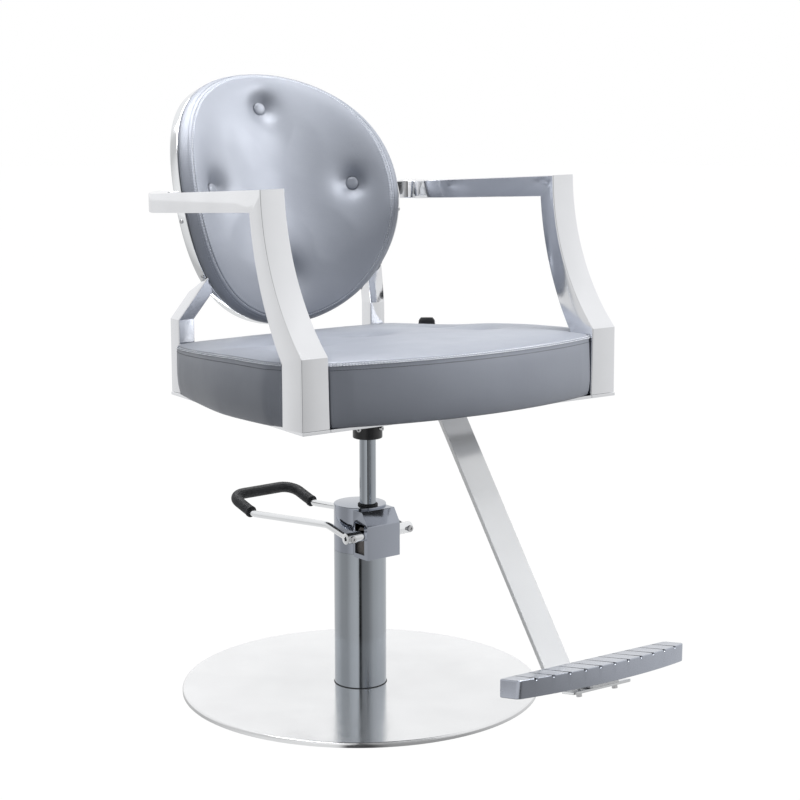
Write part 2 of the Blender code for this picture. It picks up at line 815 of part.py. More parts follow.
def make_piston(piston_axis):
    head_high = PISTON_HEAD_Z + PISTON_HEAD_H
    groove_low = PISTON_HEAD_Z + 0.5 * (PISTON_HEAD_H - PISTON_GROOVE_H)
    groove_high = groove_low + PISTON_GROOVE_H
    core = PISTON_HEAD_R - PISTON_GROOVE_D
    profile = [
        (0.0, head_high),
        (PISTON_HEAD_R, head_high),
        (PISTON_HEAD_R, groove_high),
        (core, groove_high),
        (core, groove_low),
        (PISTON_HEAD_R, groove_low),
        (PISTON_HEAD_R, PISTON_HEAD_Z),
        (0.0, PISTON_HEAD_Z),
    ]
    add_mesh("piston_head", lathe(profile, 32), STEEL, piston_axis)
    rod = [
        (0.0, ROD_TOP_Z),
        (ROD_R - ROD_CHAMFER / 2, ROD_TOP_Z),
        (ROD_R, ROD_TOP_Z - ROD_CHAMFER),
        (ROD_R, head_high + GAP),
        (0.0, head_high + GAP),
    ]
    add_mesh("piston_rod", lathe(rod), CHROME, piston_axis)


def make_plunger(pump, plug_low):
    """The small pump behind the cylinder: barrel, spring and the plunger that the fork pushes."""
    place = (0.0, PLUNGER_BACK, 0.0)
    bore = PLUNGER_R + GAP
    barrel_r = bore + BARREL_WALL
    floor_z = BARREL_Z + BARREL_FLOOR
    barrel = [
        (barrel_r, plug_low - GAP),
        (barrel_r, BARREL_Z),
        (0.0, BARREL_Z),
        (0.0, floor_z),
        (bore, floor_z),
        (bore, plug_low - GAP),
    ]
    add_mesh("plunger_barrel", lathe(barrel, 24), STEEL, pump, location=place)

    top = SHAFT_Z - FORK_NOSE_R - GAP
    plunger = [
        (0.0, top),
        (PLUNGER_CAP_R, top),
        (PLUNGER_CAP_R, top - PLUNGER_CAP_H),
        (PLUNGER_R, top - PLUNGER_CAP_H),
        (PLUNGER_R, PLUNGER_FOOT_Z),
        (0.0, PLUNGER_FOOT_Z),
    ]
    add_mesh("pump_plunger", lathe(plunger, 24), STEEL, pump, location=place)

    spring_low = floor_z + GAP + SPRING_WIRE_R
    spring_high = PLUNGER_FOOT_Z - GAP - SPRING_WIRE_R
    coil_r = PLUNGER_R - 2 * SPRING_WIRE_R
    count = SPRING_TURNS * SPRING_POINTS
    path = []
    for i in range(count + 1):
        turn = 2 * math.pi * i / SPRING_POINTS
        path.append((coil_r * math.cos(turn), coil_r * math.sin(turn), mix(spring_low, spring_high, i / count)))
    rings = tube_rings(path, [SPRING_WIRE_R] * len(path), 5)
    add_mesh("plunger_spring", loft(rings), STEEL, pump, location=place, sharp=80)


# ---------------------------------------------------------------- foot lever


def lever_path():
    """The U bar's centre line from one shaft end round to the other, relative to the shaft's axis."""
    half = [(BAR_SHAFT_X, -SHAFT_FORWARD + BAR_SEAT, SHAFT_Z), BAR_KNEE, BAR_DIP, BAR_CROSS]
    corners = half + [(-x, y, z) for x, y, z in reversed(half)]
    radii = [BAR_KNEE_R, BAR_DIP_R, BAR_CORNER_R, BAR_CORNER_R, BAR_DIP_R, BAR_KNEE_R]
    origin = Vector((0.0, -SHAFT_FORWARD, SHAFT_Z))
    return [point - origin for point in rounded(corners, radii, 5)]


def resample(path, count, start_share, end_share):
    """Evenly spaced points of a stretch of a path."""
    lengths = [0.0]
    for a, b in zip(path, path[1:]):
        lengths.append(lengths[-1] + (b - a).length)
    points = []
    for i in range(count):
        want = lengths[-1] * mix(start_share, end_share, i / (count - 1))
        k = max(j for j in range(len(lengths) - 1) if lengths[j] <= want)
        span = lengths[k + 1] - lengths[k]
        points.append(path[k].lerp(path[k + 1], (want - lengths[k]) / span))
    return points


def share_at_y(path, y):
    """How far along its length the path first reaches y."""
    total = sum((b - a).length for a, b in zip(path, path[1:]))
    run = 0.0
    for a, b in zip(path, path[1:]):
        if a.y <= y <= b.y:
            return (run + (b - a).length * (y - a.y) / (b.y - a.y)) / total
        run += (b - a).length
    return 0.5


def make_foot_lever(lever):
    """Everything is placed about the empty lever, which lies on the shaft's axis."""
    rod = lathe(
        [
            (SHAFT_HOLE_R, SHAFT_HALF_L),
            (SHAFT_R - SHAFT_EDGE, SHAFT_HALF_L),
            (SHAFT_R, SHAFT_HALF_L - SHAFT_EDGE),
            (SHAFT_R, -SHAFT_HALF_L + SHAFT_EDGE),
            (SHAFT_R - SHAFT_EDGE, -SHAFT_HALF_L),
            (SHAFT_HOLE_R, -SHAFT_HALF_L),
            (SHAFT_HOLE_R, -SHAFT_HALF_L + SHAFT_HOLE_L),
            (0.0, -SHAFT_HALF_L + SHAFT_HOLE_L),
            (0.0, SHAFT_HALF_L - SHAFT_HOLE_L),
            (SHAFT_HOLE_R, SHAFT_HALF_L - SHAFT_HOLE_L),
        ],
        24,
    )
    shaft = on_shaft("cross_shaft", rod, lever, CHROME, location=(0.0, 0.0, 0.0))

    path = lever_path()
    add_mesh("lever_bar", loft(tube_rings(path, [BAR_R] * len(path), 10)), CHROME, lever, sharp=60)
    for index, name in ((0, "left"), (-1, "right")):
        end = path[index]
        inward = (path[1] - end) if index == 0 else (path[-2] - end)
        inward = inward.normalized()
        socket = tube_rings([end - inward * GAP, end + inward * 3 * SHAFT_R], [BAR_R + BOLT_GAP] * 2, 16)
        cut(shaft, add_mesh("bar_socket_" + name, loft(socket), CHROME, lever))

    start = share_at_y(path, GRIP_START + SHAFT_FORWARD)
    count = 2 * GRIP_RIBS + 1
    grip_path = resample(path, count, start, 1.0 - start)
    grip_radii = [GRIP_R if i % 2 else GRIP_R - GRIP_RIB for i in range(count)]
    grip = add_mesh("lever_grip", loft(tube_rings(grip_path, grip_radii, 8)), RUBBER, lever, sharp=60)
    bore = loft(tube_rings(path, [BAR_R + GAP] * len(path), 10))
    cut(grip, add_mesh("grip_bore", bore, RUBBER, lever))

    for x, name in ((BAR_SHAFT_X, "left"), (-BAR_SHAFT_X, "right")):
        bolt = clamp_bolt(CLAMP_SHANK_R, 0.0)
        bolt_place = (x, -SHAFT_R + CLAMP_SHANK_L, 0.0)
        add_mesh("clamp_bolt_" + name, bolt, STEEL, lever, location=bolt_place)
        pocket = clamp_bolt(CLAMP_SHANK_R + BOLT_GAP, GAP)
        cut(shaft, add_mesh("clamp_hole_" + name, pocket, STEEL, lever, location=bolt_place))

    make_fork(lever)


def clamp_bolt(shank_r, room):
    """A bolt along Y, its tip at the origin and its head towards -Y."""
    seat = -CLAMP_SHANK_L - CLAMP_SEAT_GAP + room
    bm = lathe(
        [
            (0.0, room),
            (shank_r, room),
            (shank_r, seat),
            (CLAMP_HEAD_R, seat),
            (CLAMP_HEAD_R, seat - CLAMP_HEAD_H + CLAMP_HEAD_EDGE),
            (CLAMP_HEAD_R - CLAMP_HEAD_EDGE, seat - CLAMP_HEAD_H),
            (0.0, seat - CLAMP_HEAD_H),
        ],
        SMALL_STEPS,
    )
    bmesh.ops.rotate(bm, verts=bm.verts, cent=(0, 0, 0), matrix=Matrix.Rotation(-math.pi / 2, 3, "X"))
    return bm


def make_fork(lever):
    """The rocker inside the head: a hub on the shaft and two arms round the rod to the plunger."""
    hub_half = LUG_INNER - GAP
    hub = on_shaft(
        "rocker_fork",
        lathe(tube_profile(FORK_HUB_R, SHAFT_R + GAP, -hub_half, hub_half), 24),
        lever,
        CAST,
        location=(0.0, 0.0, 0.0),
    )
    reach = SHAFT_FORWARD + PLUNGER_BACK
    root = SHAFT_R + FORK_ROOT_GAP
    arm = [
        (root, -FORK_ARM_HALF_H),
        (reach, -FORK_ARM_HALF_H),
        (reach, FORK_ARM_HALF_H),
        (root, FORK_ARM_HALF_H),
    ]
    for side, name in ((-1, "right"), (1, "left")):
        span = sorted((side * FORK_ARM_INNER, side * (hub_half - GAP)))
        join(hub, add_mesh("fork_arm_" + name, prism(arm, *span, "X"), CAST, lever))
    nose = lathe(disc_profile(FORK_NOSE_R, -hub_half + 2 * GAP, hub_half - 2 * GAP), 20)
    join(hub, on_shaft("fork_nose", nose, lever, CAST, location=(0.0, reach, 0.0)))


# ---------------------------------------------------------------- seat frame and swivel


def frame_plane_z(y):
    """Height of the underside of the seat frame at a distance y from the swivel axis."""
    return FRAME_Z - math.tan(FRAME_DROP) * (y - FRAME_FRONT_Y)


def frame_top_z(y):
    return frame_plane_z(y) + FRAME_T / math.cos(FRAME_DROP)


def frame_half(y):
    """Half width of the frame at y, measured in the seat plane from its front edge."""
    return mix(FRAME_HALF_FRONT, FRAME_HALF_REAR, y / FRAME_L)


def rail_between(y0, y1):
    """A bar across the frame, between the side rails."""
    inner = SIDE_RAIL_W + GAP
    return [
        (-frame_half(y0) + inner, y0),
        (frame_half(y0) - inner, y0),
        (frame_half(y1) - inner, y1),
        (-frame_half(y1) + inner, y1),
    ]


def make_seat_frame(plane, swivel):
    for side, name in ((-1, "right"), (1, "left")):
        outline = [
            (side * FRAME_HALF_FRONT, 0.0),
            (side * FRAME_HALF_REAR, FRAME_L),
            (side * (FRAME_HALF_REAR - SIDE_RAIL_W), FRAME_L),
            (side * (FRAME_HALF_FRONT - SIDE_RAIL_W), 0.0),
        ]
        add_mesh("side_rail_" + name, prism(outline, 0.0, FRAME_T), CHROME, plane)
    add_mesh("front_rail", prism(rail_between(0.0, FRONT_RAIL_W), 0.0, FRAME_T), CHROME, plane)
    add_mesh("rear_rail", prism(rail_between(FRAME_L - REAR_RAIL_W, FRAME_L), 0.0, FRAME_T), CHROME, plane)

    swivel_y = -FRAME_FRONT_Y / math.cos(FRAME_DROP)
    for step, name in ((-1, "front"), (1, "rear")):
        middle = swivel_y + 0.5 * step * CROSS_RAIL_PITCH
        rail = rail_between(middle - 0.5 * CROSS_RAIL_W, middle + 0.5 * CROSS_RAIL_W)
        add_mesh("cross_rail_" + name, prism(rail, 0.0, FRAME_T), DARK_STEEL, plane)

    half_x, half_y = 0.5 * SWIVEL_PLATE_X, 0.5 * SWIVEL_PLATE_Y
    plate = prism(
        box_outline(-half_x, half_x, swivel_y - half_y, swivel_y + half_y), -GAP - SWIVEL_PLATE_H, -GAP
    )
    add_mesh("swivel_plate", plate, DARK_STEEL, plane)

    socket_bore = ROD_R + RUN_GAP
    open_top = 2 * FRAME_Z
    socket = lathe(
        [
            (0.0, open_top),
            (SOCKET_R, open_top),
            (SOCKET_R, SOCKET_Z + SOCKET_EDGE),
            (SOCKET_R - SOCKET_EDGE, SOCKET_Z),
            (socket_bore, SOCKET_Z),
            (socket_bore, ROD_TOP_Z + GAP),
            (0.0, ROD_TOP_Z + GAP),
        ]
    )
    under_plate = (SWIVEL_PLATE_H + 2 * GAP) / math.cos(FRAME_DROP)
    for vert in socket.verts:
        if vert.co.z > FRAME_Z:
            vert.co.z = frame_plane_z(vert.co.y) - under_plate
    add_mesh("swivel_socket", socket, BLACK_PLASTIC, swivel)


# ---------------------------------------------------------------- arm frames and legs


def arm_sections(side):
    """Four-cornered sections from the post's foot to the end of the return."""
    front = arc_through(POST_FRONT_KINK, POST_FRONT_MID, POST_FRONT_TOP, 9)
    rear = arc_through(POST_REAR_KINK, POST_REAR_MID, POST_REAR_TOP, 9)
    foot_front = (POST_FRONT_FOOT_Y, frame_top_z(POST_FRONT_FOOT_Y) + GAP)
    foot_rear = (POST_REAR_FOOT_Y, frame_top_z(POST_REAR_FOOT_Y) + GAP)
    rows = list(zip([foot_front, *front], [foot_rear, *rear]))
    sections = []
    for (fy, fz), (ry, rz) in rows:
        rise = (fz - foot_front[1]) / (POST_FRONT_TOP[1] - foot_front[1])
        xs = (FRAME_HALF_FRONT, FRAME_HALF_FRONT - mix(POST_FOOT_W, POST_TOP_W, rise))
        sections.append(section(side, xs, (fy, fz), (ry, rz)))

    for share in (1 / 3, 2 / 3, 1.0):
        top = (mix(POST_FRONT_TOP[0], ARM_END_Y, share), mix(POST_FRONT_TOP[1], ARM_END_TOP_Z, share))
        low = (mix(POST_REAR_TOP[0], ARM_END_Y, share), mix(POST_REAR_TOP[1], ARM_END_BOTTOM_Z, share))
        xs = (
            mix(FRAME_HALF_FRONT, ARM_END_OUTER_X, share),
            mix(FRAME_HALF_FRONT - POST_TOP_W, ARM_END_INNER_X, share),
        )
        sections.append(section(side, xs, top, low))

    centre_x = ARM_END_INNER_X - RETURN_BEND_R
    outer_start = ARM_END_OUTER_X - centre_x
    outer_end = RETURN_BEND_R + RETURN_DEPTH
    bend_steps = 6
    for i in range(1, bend_steps + 1):
        turn = 0.5 * math.pi * i / bend_steps
        outer = mix(outer_start, outer_end, i / bend_steps)
        out_point = (centre_x + outer * math.cos(turn), ARM_END_Y + outer * math.sin(turn))
        in_point = (
            centre_x + RETURN_BEND_R * math.cos(turn),
            ARM_END_Y + RETURN_BEND_R * math.sin(turn),
        )
        sections.append(upright_section(side, out_point, in_point))
    sections.append(
        upright_section(
            side, (RETURN_END_X, ARM_END_Y + outer_end), (RETURN_END_X, ARM_END_Y + RETURN_BEND_R)
        )
    )
    return sections


def section(side, xs, top, low):
    """Four corners from the outer and inner X and the (y, z) of the upper and lower edge."""
    outer, inner = side * xs[0], side * xs[1]
    return [(outer, *top), (inner, *top), (inner, *low), (outer, *low)]


def upright_section(side, outer, inner):
    return [
        (side * outer[0], outer[1], ARM_END_TOP_Z),
        (side * inner[0], inner[1], ARM_END_TOP_Z),
        (side * inner[0], inner[1], ARM_END_BOTTOM_Z),
        (side * outer[0], outer[1], ARM_END_BOTTOM_Z),
    ]


def square_section(x, y, z_of, width, edge):
    half = 0.5 * width
    corners = [
        (x + dx, y + dy, z_of(y + dy))
        for dx, dy in ((half, -half), (-half, -half), (-half, half), (half, half))
    ]
    return chamfered(corners, edge)


def make_arms_and_legs(swivel):
    """Both arm frames and both rear legs end on the outside of the back ring."""
    ring_room_r = RING_R + 2 * GAP
    cushion_room_r = BACK_SEAM_R + BACK_CUSHION_FLARE + SOFT_GAP
    room = bent_lathe(
        [
            (0.0, -BACK_ROOM_FRONT),
            (cushion_room_r, -BACK_ROOM_FRONT),
            (cushion_room_r, BACK_CUSHION_T + GAP),
            (ring_room_r, BACK_CUSHION_T + 2 * GAP),
            (ring_room_r, BACK_ROOM_REAR),
            (0.0, BACK_ROOM_REAR),
        ],
        BACK_STEPS,
    )
    ring_room = add_mesh("ring_room", room, CHROME, swivel)
    for side, name in ((-1, "right"), (1, "left")):
        rings = [chamfered(corners, ARM_EDGE) for corners in arm_sections(side)]
        arm = add_mesh("arm_frame_" + name, loft(rings), POLISHED, swivel, sharp=35)
        cut(arm, ring_room)

        x = side * (LEG_OUTER_X - 0.5 * LEG_W)
        leg_rings = [
            square_section(x, LEG_Y, lambda y: frame_top_z(y) + GAP, LEG_W, LEG_EDGE),
            square_section(x, LEG_Y, lambda y: LEG_KINK_Z, LEG_W, LEG_EDGE),
            square_section(side * LEG_TOP[0], LEG_TOP[1], lambda y: LEG_TOP[2], LEG_W, LEG_EDGE),
        ]
        leg = add_mesh("rear_leg_" + name, loft(leg_rings), POLISHED, swivel, sharp=20)
        cut(leg, ring_room)


# ---------------------------------------------------------------- back


def back_point(across, up, depth):
    """A point of the back: across and up on the bent face, depth behind its seam."""
    turn = across / BACK_BEND_R
    forward = BACK_BEND_R * (1 - math.cos(turn)) - depth * math.cos(turn)
    x = (BACK_BEND_R + depth) * math.sin(turn)
    y = BACK_Y + up * math.sin(BACK_LEAN) - forward * math.cos(BACK_LEAN)
    z = BACK_Z + up * math.cos(BACK_LEAN) + forward * math.sin(BACK_LEAN)
    return Vector((x, y, z))


def bent_lathe(profile, steps, press=None):
    """Turns a profile of (radius, depth) on the bent face. It starts and ends on the centre."""
    angles = [2 * math.pi * i / steps for i in range(steps)]
    rings = []
    for radius, depth in profile:
        if radius < WELD:
            continue
        ring = []
        for a in angles:
            across, up = radius * math.cos(a), radius * math.sin(a)
            sink = press(across, up, depth) if press else 0.0
            ring.append(back_point(across, up, depth + sink))
        rings.append(ring)
    ends = []
    for radius, depth in (profile[0], profile[-1]):
        sink = press(0.0, 0.0, depth) if press else 0.0
        ends.append(back_point(0.0, 0.0, depth + sink))
    return polar_skin(rings, ends[0], ends[1])


def bent_ring(radius_in, radius_out, depth_in, depth_out, edge):
    """A flat bar rolled into the back's round outline."""
    corners = [
        (radius_out, depth_in + edge),
        (radius_out, depth_out - edge),
        (radius_out - edge, depth_out),
        (radius_in + edge, depth_out),
        (radius_in, depth_out - edge),
        (radius_in, depth_in + edge),
        (radius_in + edge, depth_in),
        (radius_out - edge, depth_in),
    ]
    rings = []
    for i in range(BACK_STEPS):
        a = 2 * math.pi * i / BACK_STEPS
        rings.append([back_point(r * math.cos(a), r * math.sin(a), depth) for r, depth in corners])
    return loft(rings, closed=True)


def back_tufts():
    """Where the four buttons sit on the back: a diamond about a point just above the middle."""
    for turn in (0, 90, 180, 270):
        angle = math.radians(turn)
        yield BACK_TUFT_R * math.cos(angle), BACK_TUFT_RISE + BACK_TUFT_R * math.sin(angle)


def press_back(across, up, depth):
    """How far the tufts draw the front of the back cushion in."""
    if depth > 0.0:
        return 0.0
    pulls = [
        dimple(math.hypot(across - x, up - y), BACK_TUFT_D, BACK_TUFT_SPREAD) for x, y in back_tufts()
    ]
    return max(pulls)


def back_crown(radius):
    """How far the leather stands in front of the seam at a radius."""
    share = min(radius / BACK_SEAM_R, 1.0)
    return BACK_CROWN * (1 - share**4) ** 0.75


def make_back(swivel):
    ring_front = BACK_CUSHION_T + GAP
    ring_rear = ring_front + RING_DEPTH
    ring_inner = RING_R - RING_T
    ring = bent_ring(ring_inner, RING_R, ring_front, ring_rear, RING_EDGE)
    add_mesh("back_ring", ring, CHROME, swivel, sharp=30)

    # Faces that lie on each other bend at the same radii, so that their facets stay parallel
    board_r = ring_inner - GAP
    panel_r = board_r - REAR_PANEL_MARGIN
    seats = [panel_r * share for share in (0.38, 0.72, 1.0)]
    board_rear = ring_front + BOARD_T
    board = [(0.0, ring_front), *((r, ring_front) for r in (*seats, board_r))]
    board += [*((r, board_rear) for r in (board_r, *reversed(seats))), (0.0, board_rear)]
    add_mesh("back_board", bent_lathe(board, BACK_STEPS), BOARD, swivel)

    panel_front = board_rear + GAP
    panel_edge = panel_front + REAR_PANEL_T
    panel = [(0.0, panel_front), *((r, panel_front) for r in seats), (panel_r, panel_edge)]
    for share in (0.985, 0.9, 0.6, 0.0):
        panel.append((panel_r * share, panel_edge + REAR_PANEL_CROWN * (1 - share**2) ** 0.5))
    add_mesh("rear_panel", bent_lathe(panel, BACK_STEPS), LEATHER, swivel, sharp=60)

    rear_r = BACK_SEAM_R + BACK_CUSHION_FLARE
    profile = [(0.0, -BACK_CROWN)]
    for share in (0.14, 0.28, 0.42, 0.52, 0.60, 0.68, 0.76, 0.84, 0.91, 0.96, 0.985):
        profile.append((BACK_SEAM_R * share, -back_crown(BACK_SEAM_R * share)))
    profile += [
        (BACK_SEAM_R, 0.0001),
        (mix(BACK_SEAM_R, rear_r, 0.55), 0.35 * BACK_CUSHION_T),
        (rear_r, 0.80 * BACK_CUSHION_T),
        (rear_r - BACK_CUSHION_TUCK, BACK_CUSHION_T),
        *((r, BACK_CUSHION_T) for r in (board_r, *reversed(seats))),
        (0.0, BACK_CUSHION_T),
    ]
    skin = bent_lathe(profile, BACK_STEPS, press_back)
    cushion = add_mesh("back_cushion", skin, LEATHER, swivel, sharp=70)
    for i, (across, up) in enumerate(back_tufts(), start=1):
        make_button(i, across, up, cushion, swivel)


def make_button(number, across, up, cushion, swivel):
    """A covered button, domed to the front, drawn into a pocket of the cushion."""
    face = -back_crown(math.hypot(across, up)) + press_back(across, up, 0.0)
    place = back_point(across, up, face)
    front = back_point(across, up, face - BUTTON_H) - place
    turn = front.to_track_quat("Z", "Y").to_matrix().to_4x4()
    dome = [
        (BUTTON_R * math.sin(math.radians(t)), BUTTON_RIM + (BUTTON_H - BUTTON_RIM) * math.cos(math.radians(t)))
        for t in (30, 55, 75, 90)
    ]
    button = lathe([(0.0, 0.0), (0.0, BUTTON_H), *dome, (BUTTON_R, 0.0)], SMALL_STEPS)
    button.transform(turn)
    add_mesh(f"back_button_{number}", button, LEATHER, swivel, location=place, sharp=60)

    pocket = lathe(disc_profile(BUTTON_R + GAP, -GAP, 2 * BACK_TUFT_D), SMALL_STEPS)
    pocket.transform(turn)
    cut(cushion, add_mesh(f"button_pocket_{number}", pocket, LEATHER, swivel, location=place))


# ---------------------------------------------------------------- seat


def seat_outline():
    """The cushion's seam line in plan as (x, y, bulge share), from the front middle round to it again."""
    top_of_bow = SEAT_FRONT_Y - SEAT_FRONT_BOW
    front_x = FRAME_HALF_FRONT - POST_FOOT_W - SEAT_POST_SIDE_GAP
    corner_x = front_x - SEAT_FRONT_CORNER_R
    edge = [(frame_half(y) + overhang, y) for overhang, y in SEAT_OVERHANG]
    bow = arc_through((-corner_x, SEAT_FRONT_Y), (0.0, top_of_bow), (corner_x, SEAT_FRONT_Y), 14)[7:]
    notch_y = POST_REAR_FOOT_Y - FRAME_FRONT_Y + SEAT_POST_GAP
    walls = [
        (corner_x, SEAT_FRONT_Y),
        (front_x, SEAT_FRONT_Y + SEAT_CORNER_LEAN),
        (front_x, notch_y),
        (edge[0][0] - SEAT_CORNER_LEAN, notch_y),
        edge[0],
    ]
    flat = [(x, y, 0.0) for x, y in walls]
    notch = rounded(flat, [SEAT_FRONT_CORNER_R, SEAT_NOTCH_R, SEAT_SHOULDER_R], 3)
    side = smooth_through(edge, 2)
    rear_corner = (edge[-1][0] - SEAT_REAR_LEAN, SEAT_REAR_Y, 0.0)
    rear = rounded([(*edge[-1], 0.0), rear_corner, (0.0, SEAT_REAR_Y, 0.0)], [SEAT_REAR_R], 4)
    half = [(x, y, SEAT_FRONT_BULGE) for x, y in bow[:-1]]
    half += [(p.x, p.y, 0.0) for p in notch[:-1]]
    half += [(x, y, 1.0) for x, y in side]
    half += [(p.x, p.y, SEAT_REAR_BULGE) for p in rear[1:-1]]
    half += [(0.5 * front_x, SEAT_REAR_Y, SEAT_REAR_BULGE), (0.0, SEAT_REAR_Y, SEAT_REAR_BULGE)]
    mirrored = [(-x, y, w) for x, y, w in reversed(half[1:-1])]
    return half + mirrored


def seat_tufts():
    for turn in (0, 90, 180, 270):
        angle = math.radians(turn)
        yield SEAT_TUFT_R * math.cos(angle), SEAT_TUFT_Y + SEAT_TUFT_R * math.sin(angle)


def seat_ring(outline, share, height, bulge):
    """One ring of the cushion: the outline drawn in to a share of itself and swelled by bulge."""
    ring = []
    for x, y, weight in outline:
        out = Vector((x, y - SEAT_TUFT_Y))
        swell = 1.0 + bulge * weight / out.length
        ring.append((out.x * share * swell, SEAT_TUFT_Y + out.y * share * swell, height))
    return ring


def make_seat(plane):
    outline = seat_outline()
    rest = FRAME_T + GAP
    board_high = rest + SEAT_BOARD_T
    board_rings = [seat_ring(outline, SEAT_BOARD_SHARE, z, 0.0) for z in (rest, board_high)]
    add_mesh("seat_board", loft(board_rings), BOARD, plane)

    seam = FRAME_T + SEAT_SEAM_H
    rings = [
        seat_ring(outline, 0.5 * SEAT_BOARD_SHARE, board_high + GAP, 0.0),
        seat_ring(outline, 0.5 * (SEAT_BOARD_SHARE + SEAT_SKIRT_SHARE), board_high + GAP, 0.0),
        seat_ring(outline, 0.5 * (SEAT_BOARD_SHARE + SEAT_SKIRT_SHARE), rest, 0.0),
        seat_ring(outline, SEAT_SKIRT_SHARE, rest, 0.0),
    ]
    for share, height, bulge in ((0.985, 0.10, 0.3), (1.0, 0.40, 1.0), (1.0, 0.78, 0.7)):
        rings.append(seat_ring(outline, share, mix(rest, seam, height), bulge * SEAT_BULGE))
    rings.append(seat_ring(outline, 1.0, seam, 0.0))
    for share in (0.97, 0.91, 0.82, 0.73, 0.64, 0.55, 0.43, 0.28, 0.12):
        rings.append([seat_top(point, share, seam) for point in seat_ring(outline, share, seam, 0.0)])
    middle = (0.0, SEAT_TUFT_Y)
    bm = polar_skin(rings, (*middle, board_high + GAP), seat_top((*middle, seam), 0.0, seam))
    add_mesh("seat_cushion", bm, LEATHER, plane, sharp=70)


def seat_top(point, share, seam):
    """Lifts a point of the seam plane to the crowned and tufted top."""
    x, y = point[0], point[1]
    crown = SEAT_CROWN * (1 - share**4) ** 0.6
    pull = max(
        dimple(math.hypot(x - tx, y - ty), SEAT_TUFT_D, SEAT_TUFT_SPREAD) for tx, ty in seat_tufts()
    )
    return (x, y, seam + crown - pull)


# ---------------------------------------------------------------- footrest


def make_footrest(swivel):
    bar_top_y = REST_BAR_TOP[0]
    tab_z = frame_plane_z(bar_top_y) - GAP
    slope = (REST_BAR_TOP[0] - REST_BAR_BOTTOM[0]) / (REST_BAR_TOP[1] - REST_BAR_BOTTOM[1])
    knee_y = REST_BAR_TOP[0] + slope * (tab_z - REST_BAR_TOP[1])
    tab_end_y = knee_y + REST_TAB_L
    foot_front_y = REST_FRONT_Y - REST_FRONT_BOW + REST_FOOT_BACK
    rise = math.tan(REST_TILT)

    def under_plate_z(y):
        """Height of the underside of the footrest plate."""
        return REST_FRONT_Z - REST_PLATE_H - rise * (y - (REST_FRONT_Y - REST_FRONT_BOW))

    # The outer line of the bent bar, from the tab's end to the tip of its foot
    face_low_y = REST_BAR_BOTTOM[0]
    run = (REST_BAR_TOP[1] - REST_BAR_BOTTOM[1]) / (REST_BAR_TOP[0] - REST_BAR_BOTTOM[0])
    offset = under_plate_z(0.0) - GAP
    heel_y = (REST_BAR_BOTTOM[1] - run * face_low_y - offset) / (-rise - run)
    heel_z = offset - rise * heel_y
    line = [
        (tab_end_y, frame_plane_z(tab_end_y) - GAP),
        (knee_y, frame_plane_z(knee_y) - GAP),
        (heel_y, heel_z),
        (foot_front_y, under_plate_z(foot_front_y) - GAP),
    ]
    front = rounded([(0.0, y, z) for y, z in line], [REST_BAR_BEND_R + REST_BAR_T, REST_BAR_BEND_R], 4)
    outline = offset_band(front, REST_BAR_T)
    half = 0.5 * REST_BAR_W
    add_mesh("footrest_bar", prism(outline, -half, half, "X"), CHROME, swivel, sharp=30)

    make_rest_plate(swivel, rise)
    make_rest_clamp(swivel, under_plate_z, foot_front_y)


def offset_band(front, thickness):
    """Closes a line of (0, y, z) points into a band, its second side to the left of travel."""
    second = []
    for i, point in enumerate(front):
        behind = front[max(i - 1, 0)]
        ahead = front[min(i + 1, len(front) - 1)]
        along = (ahead - behind).normalized()
        second.append(point + Vector((0.0, -along.z, along.y)) * thickness)
    return [(p.y, p.z) for p in front] + [(p.y, p.z) for p in reversed(second)]


def rest_outline(inset):
    """The footrest plate in plan: straight back and a front that bows forward."""
    half = REST_PLATE_HALF - inset
    front = REST_FRONT_Y + inset
    rear = REST_FRONT_Y + REST_END_DEPTH - inset
    bow = arc_through((-half, front), (0.0, front - REST_FRONT_BOW), (half, front), 16)
    corners = [(-half, rear, 0.0), (-half, front, 0.0), (*bow[1], 0.0)]
    left = rounded(corners, [max(REST_CORNER_R - inset, 0.002)], 3)
    points = [(p.x, p.y) for p in left] + bow[2:-2]
    return points + [(-p.x, p.y) for p in reversed(left)]


def rest_top_z(y, rise):
    return REST_FRONT_Z - rise * (y - (REST_FRONT_Y - REST_FRONT_BOW))


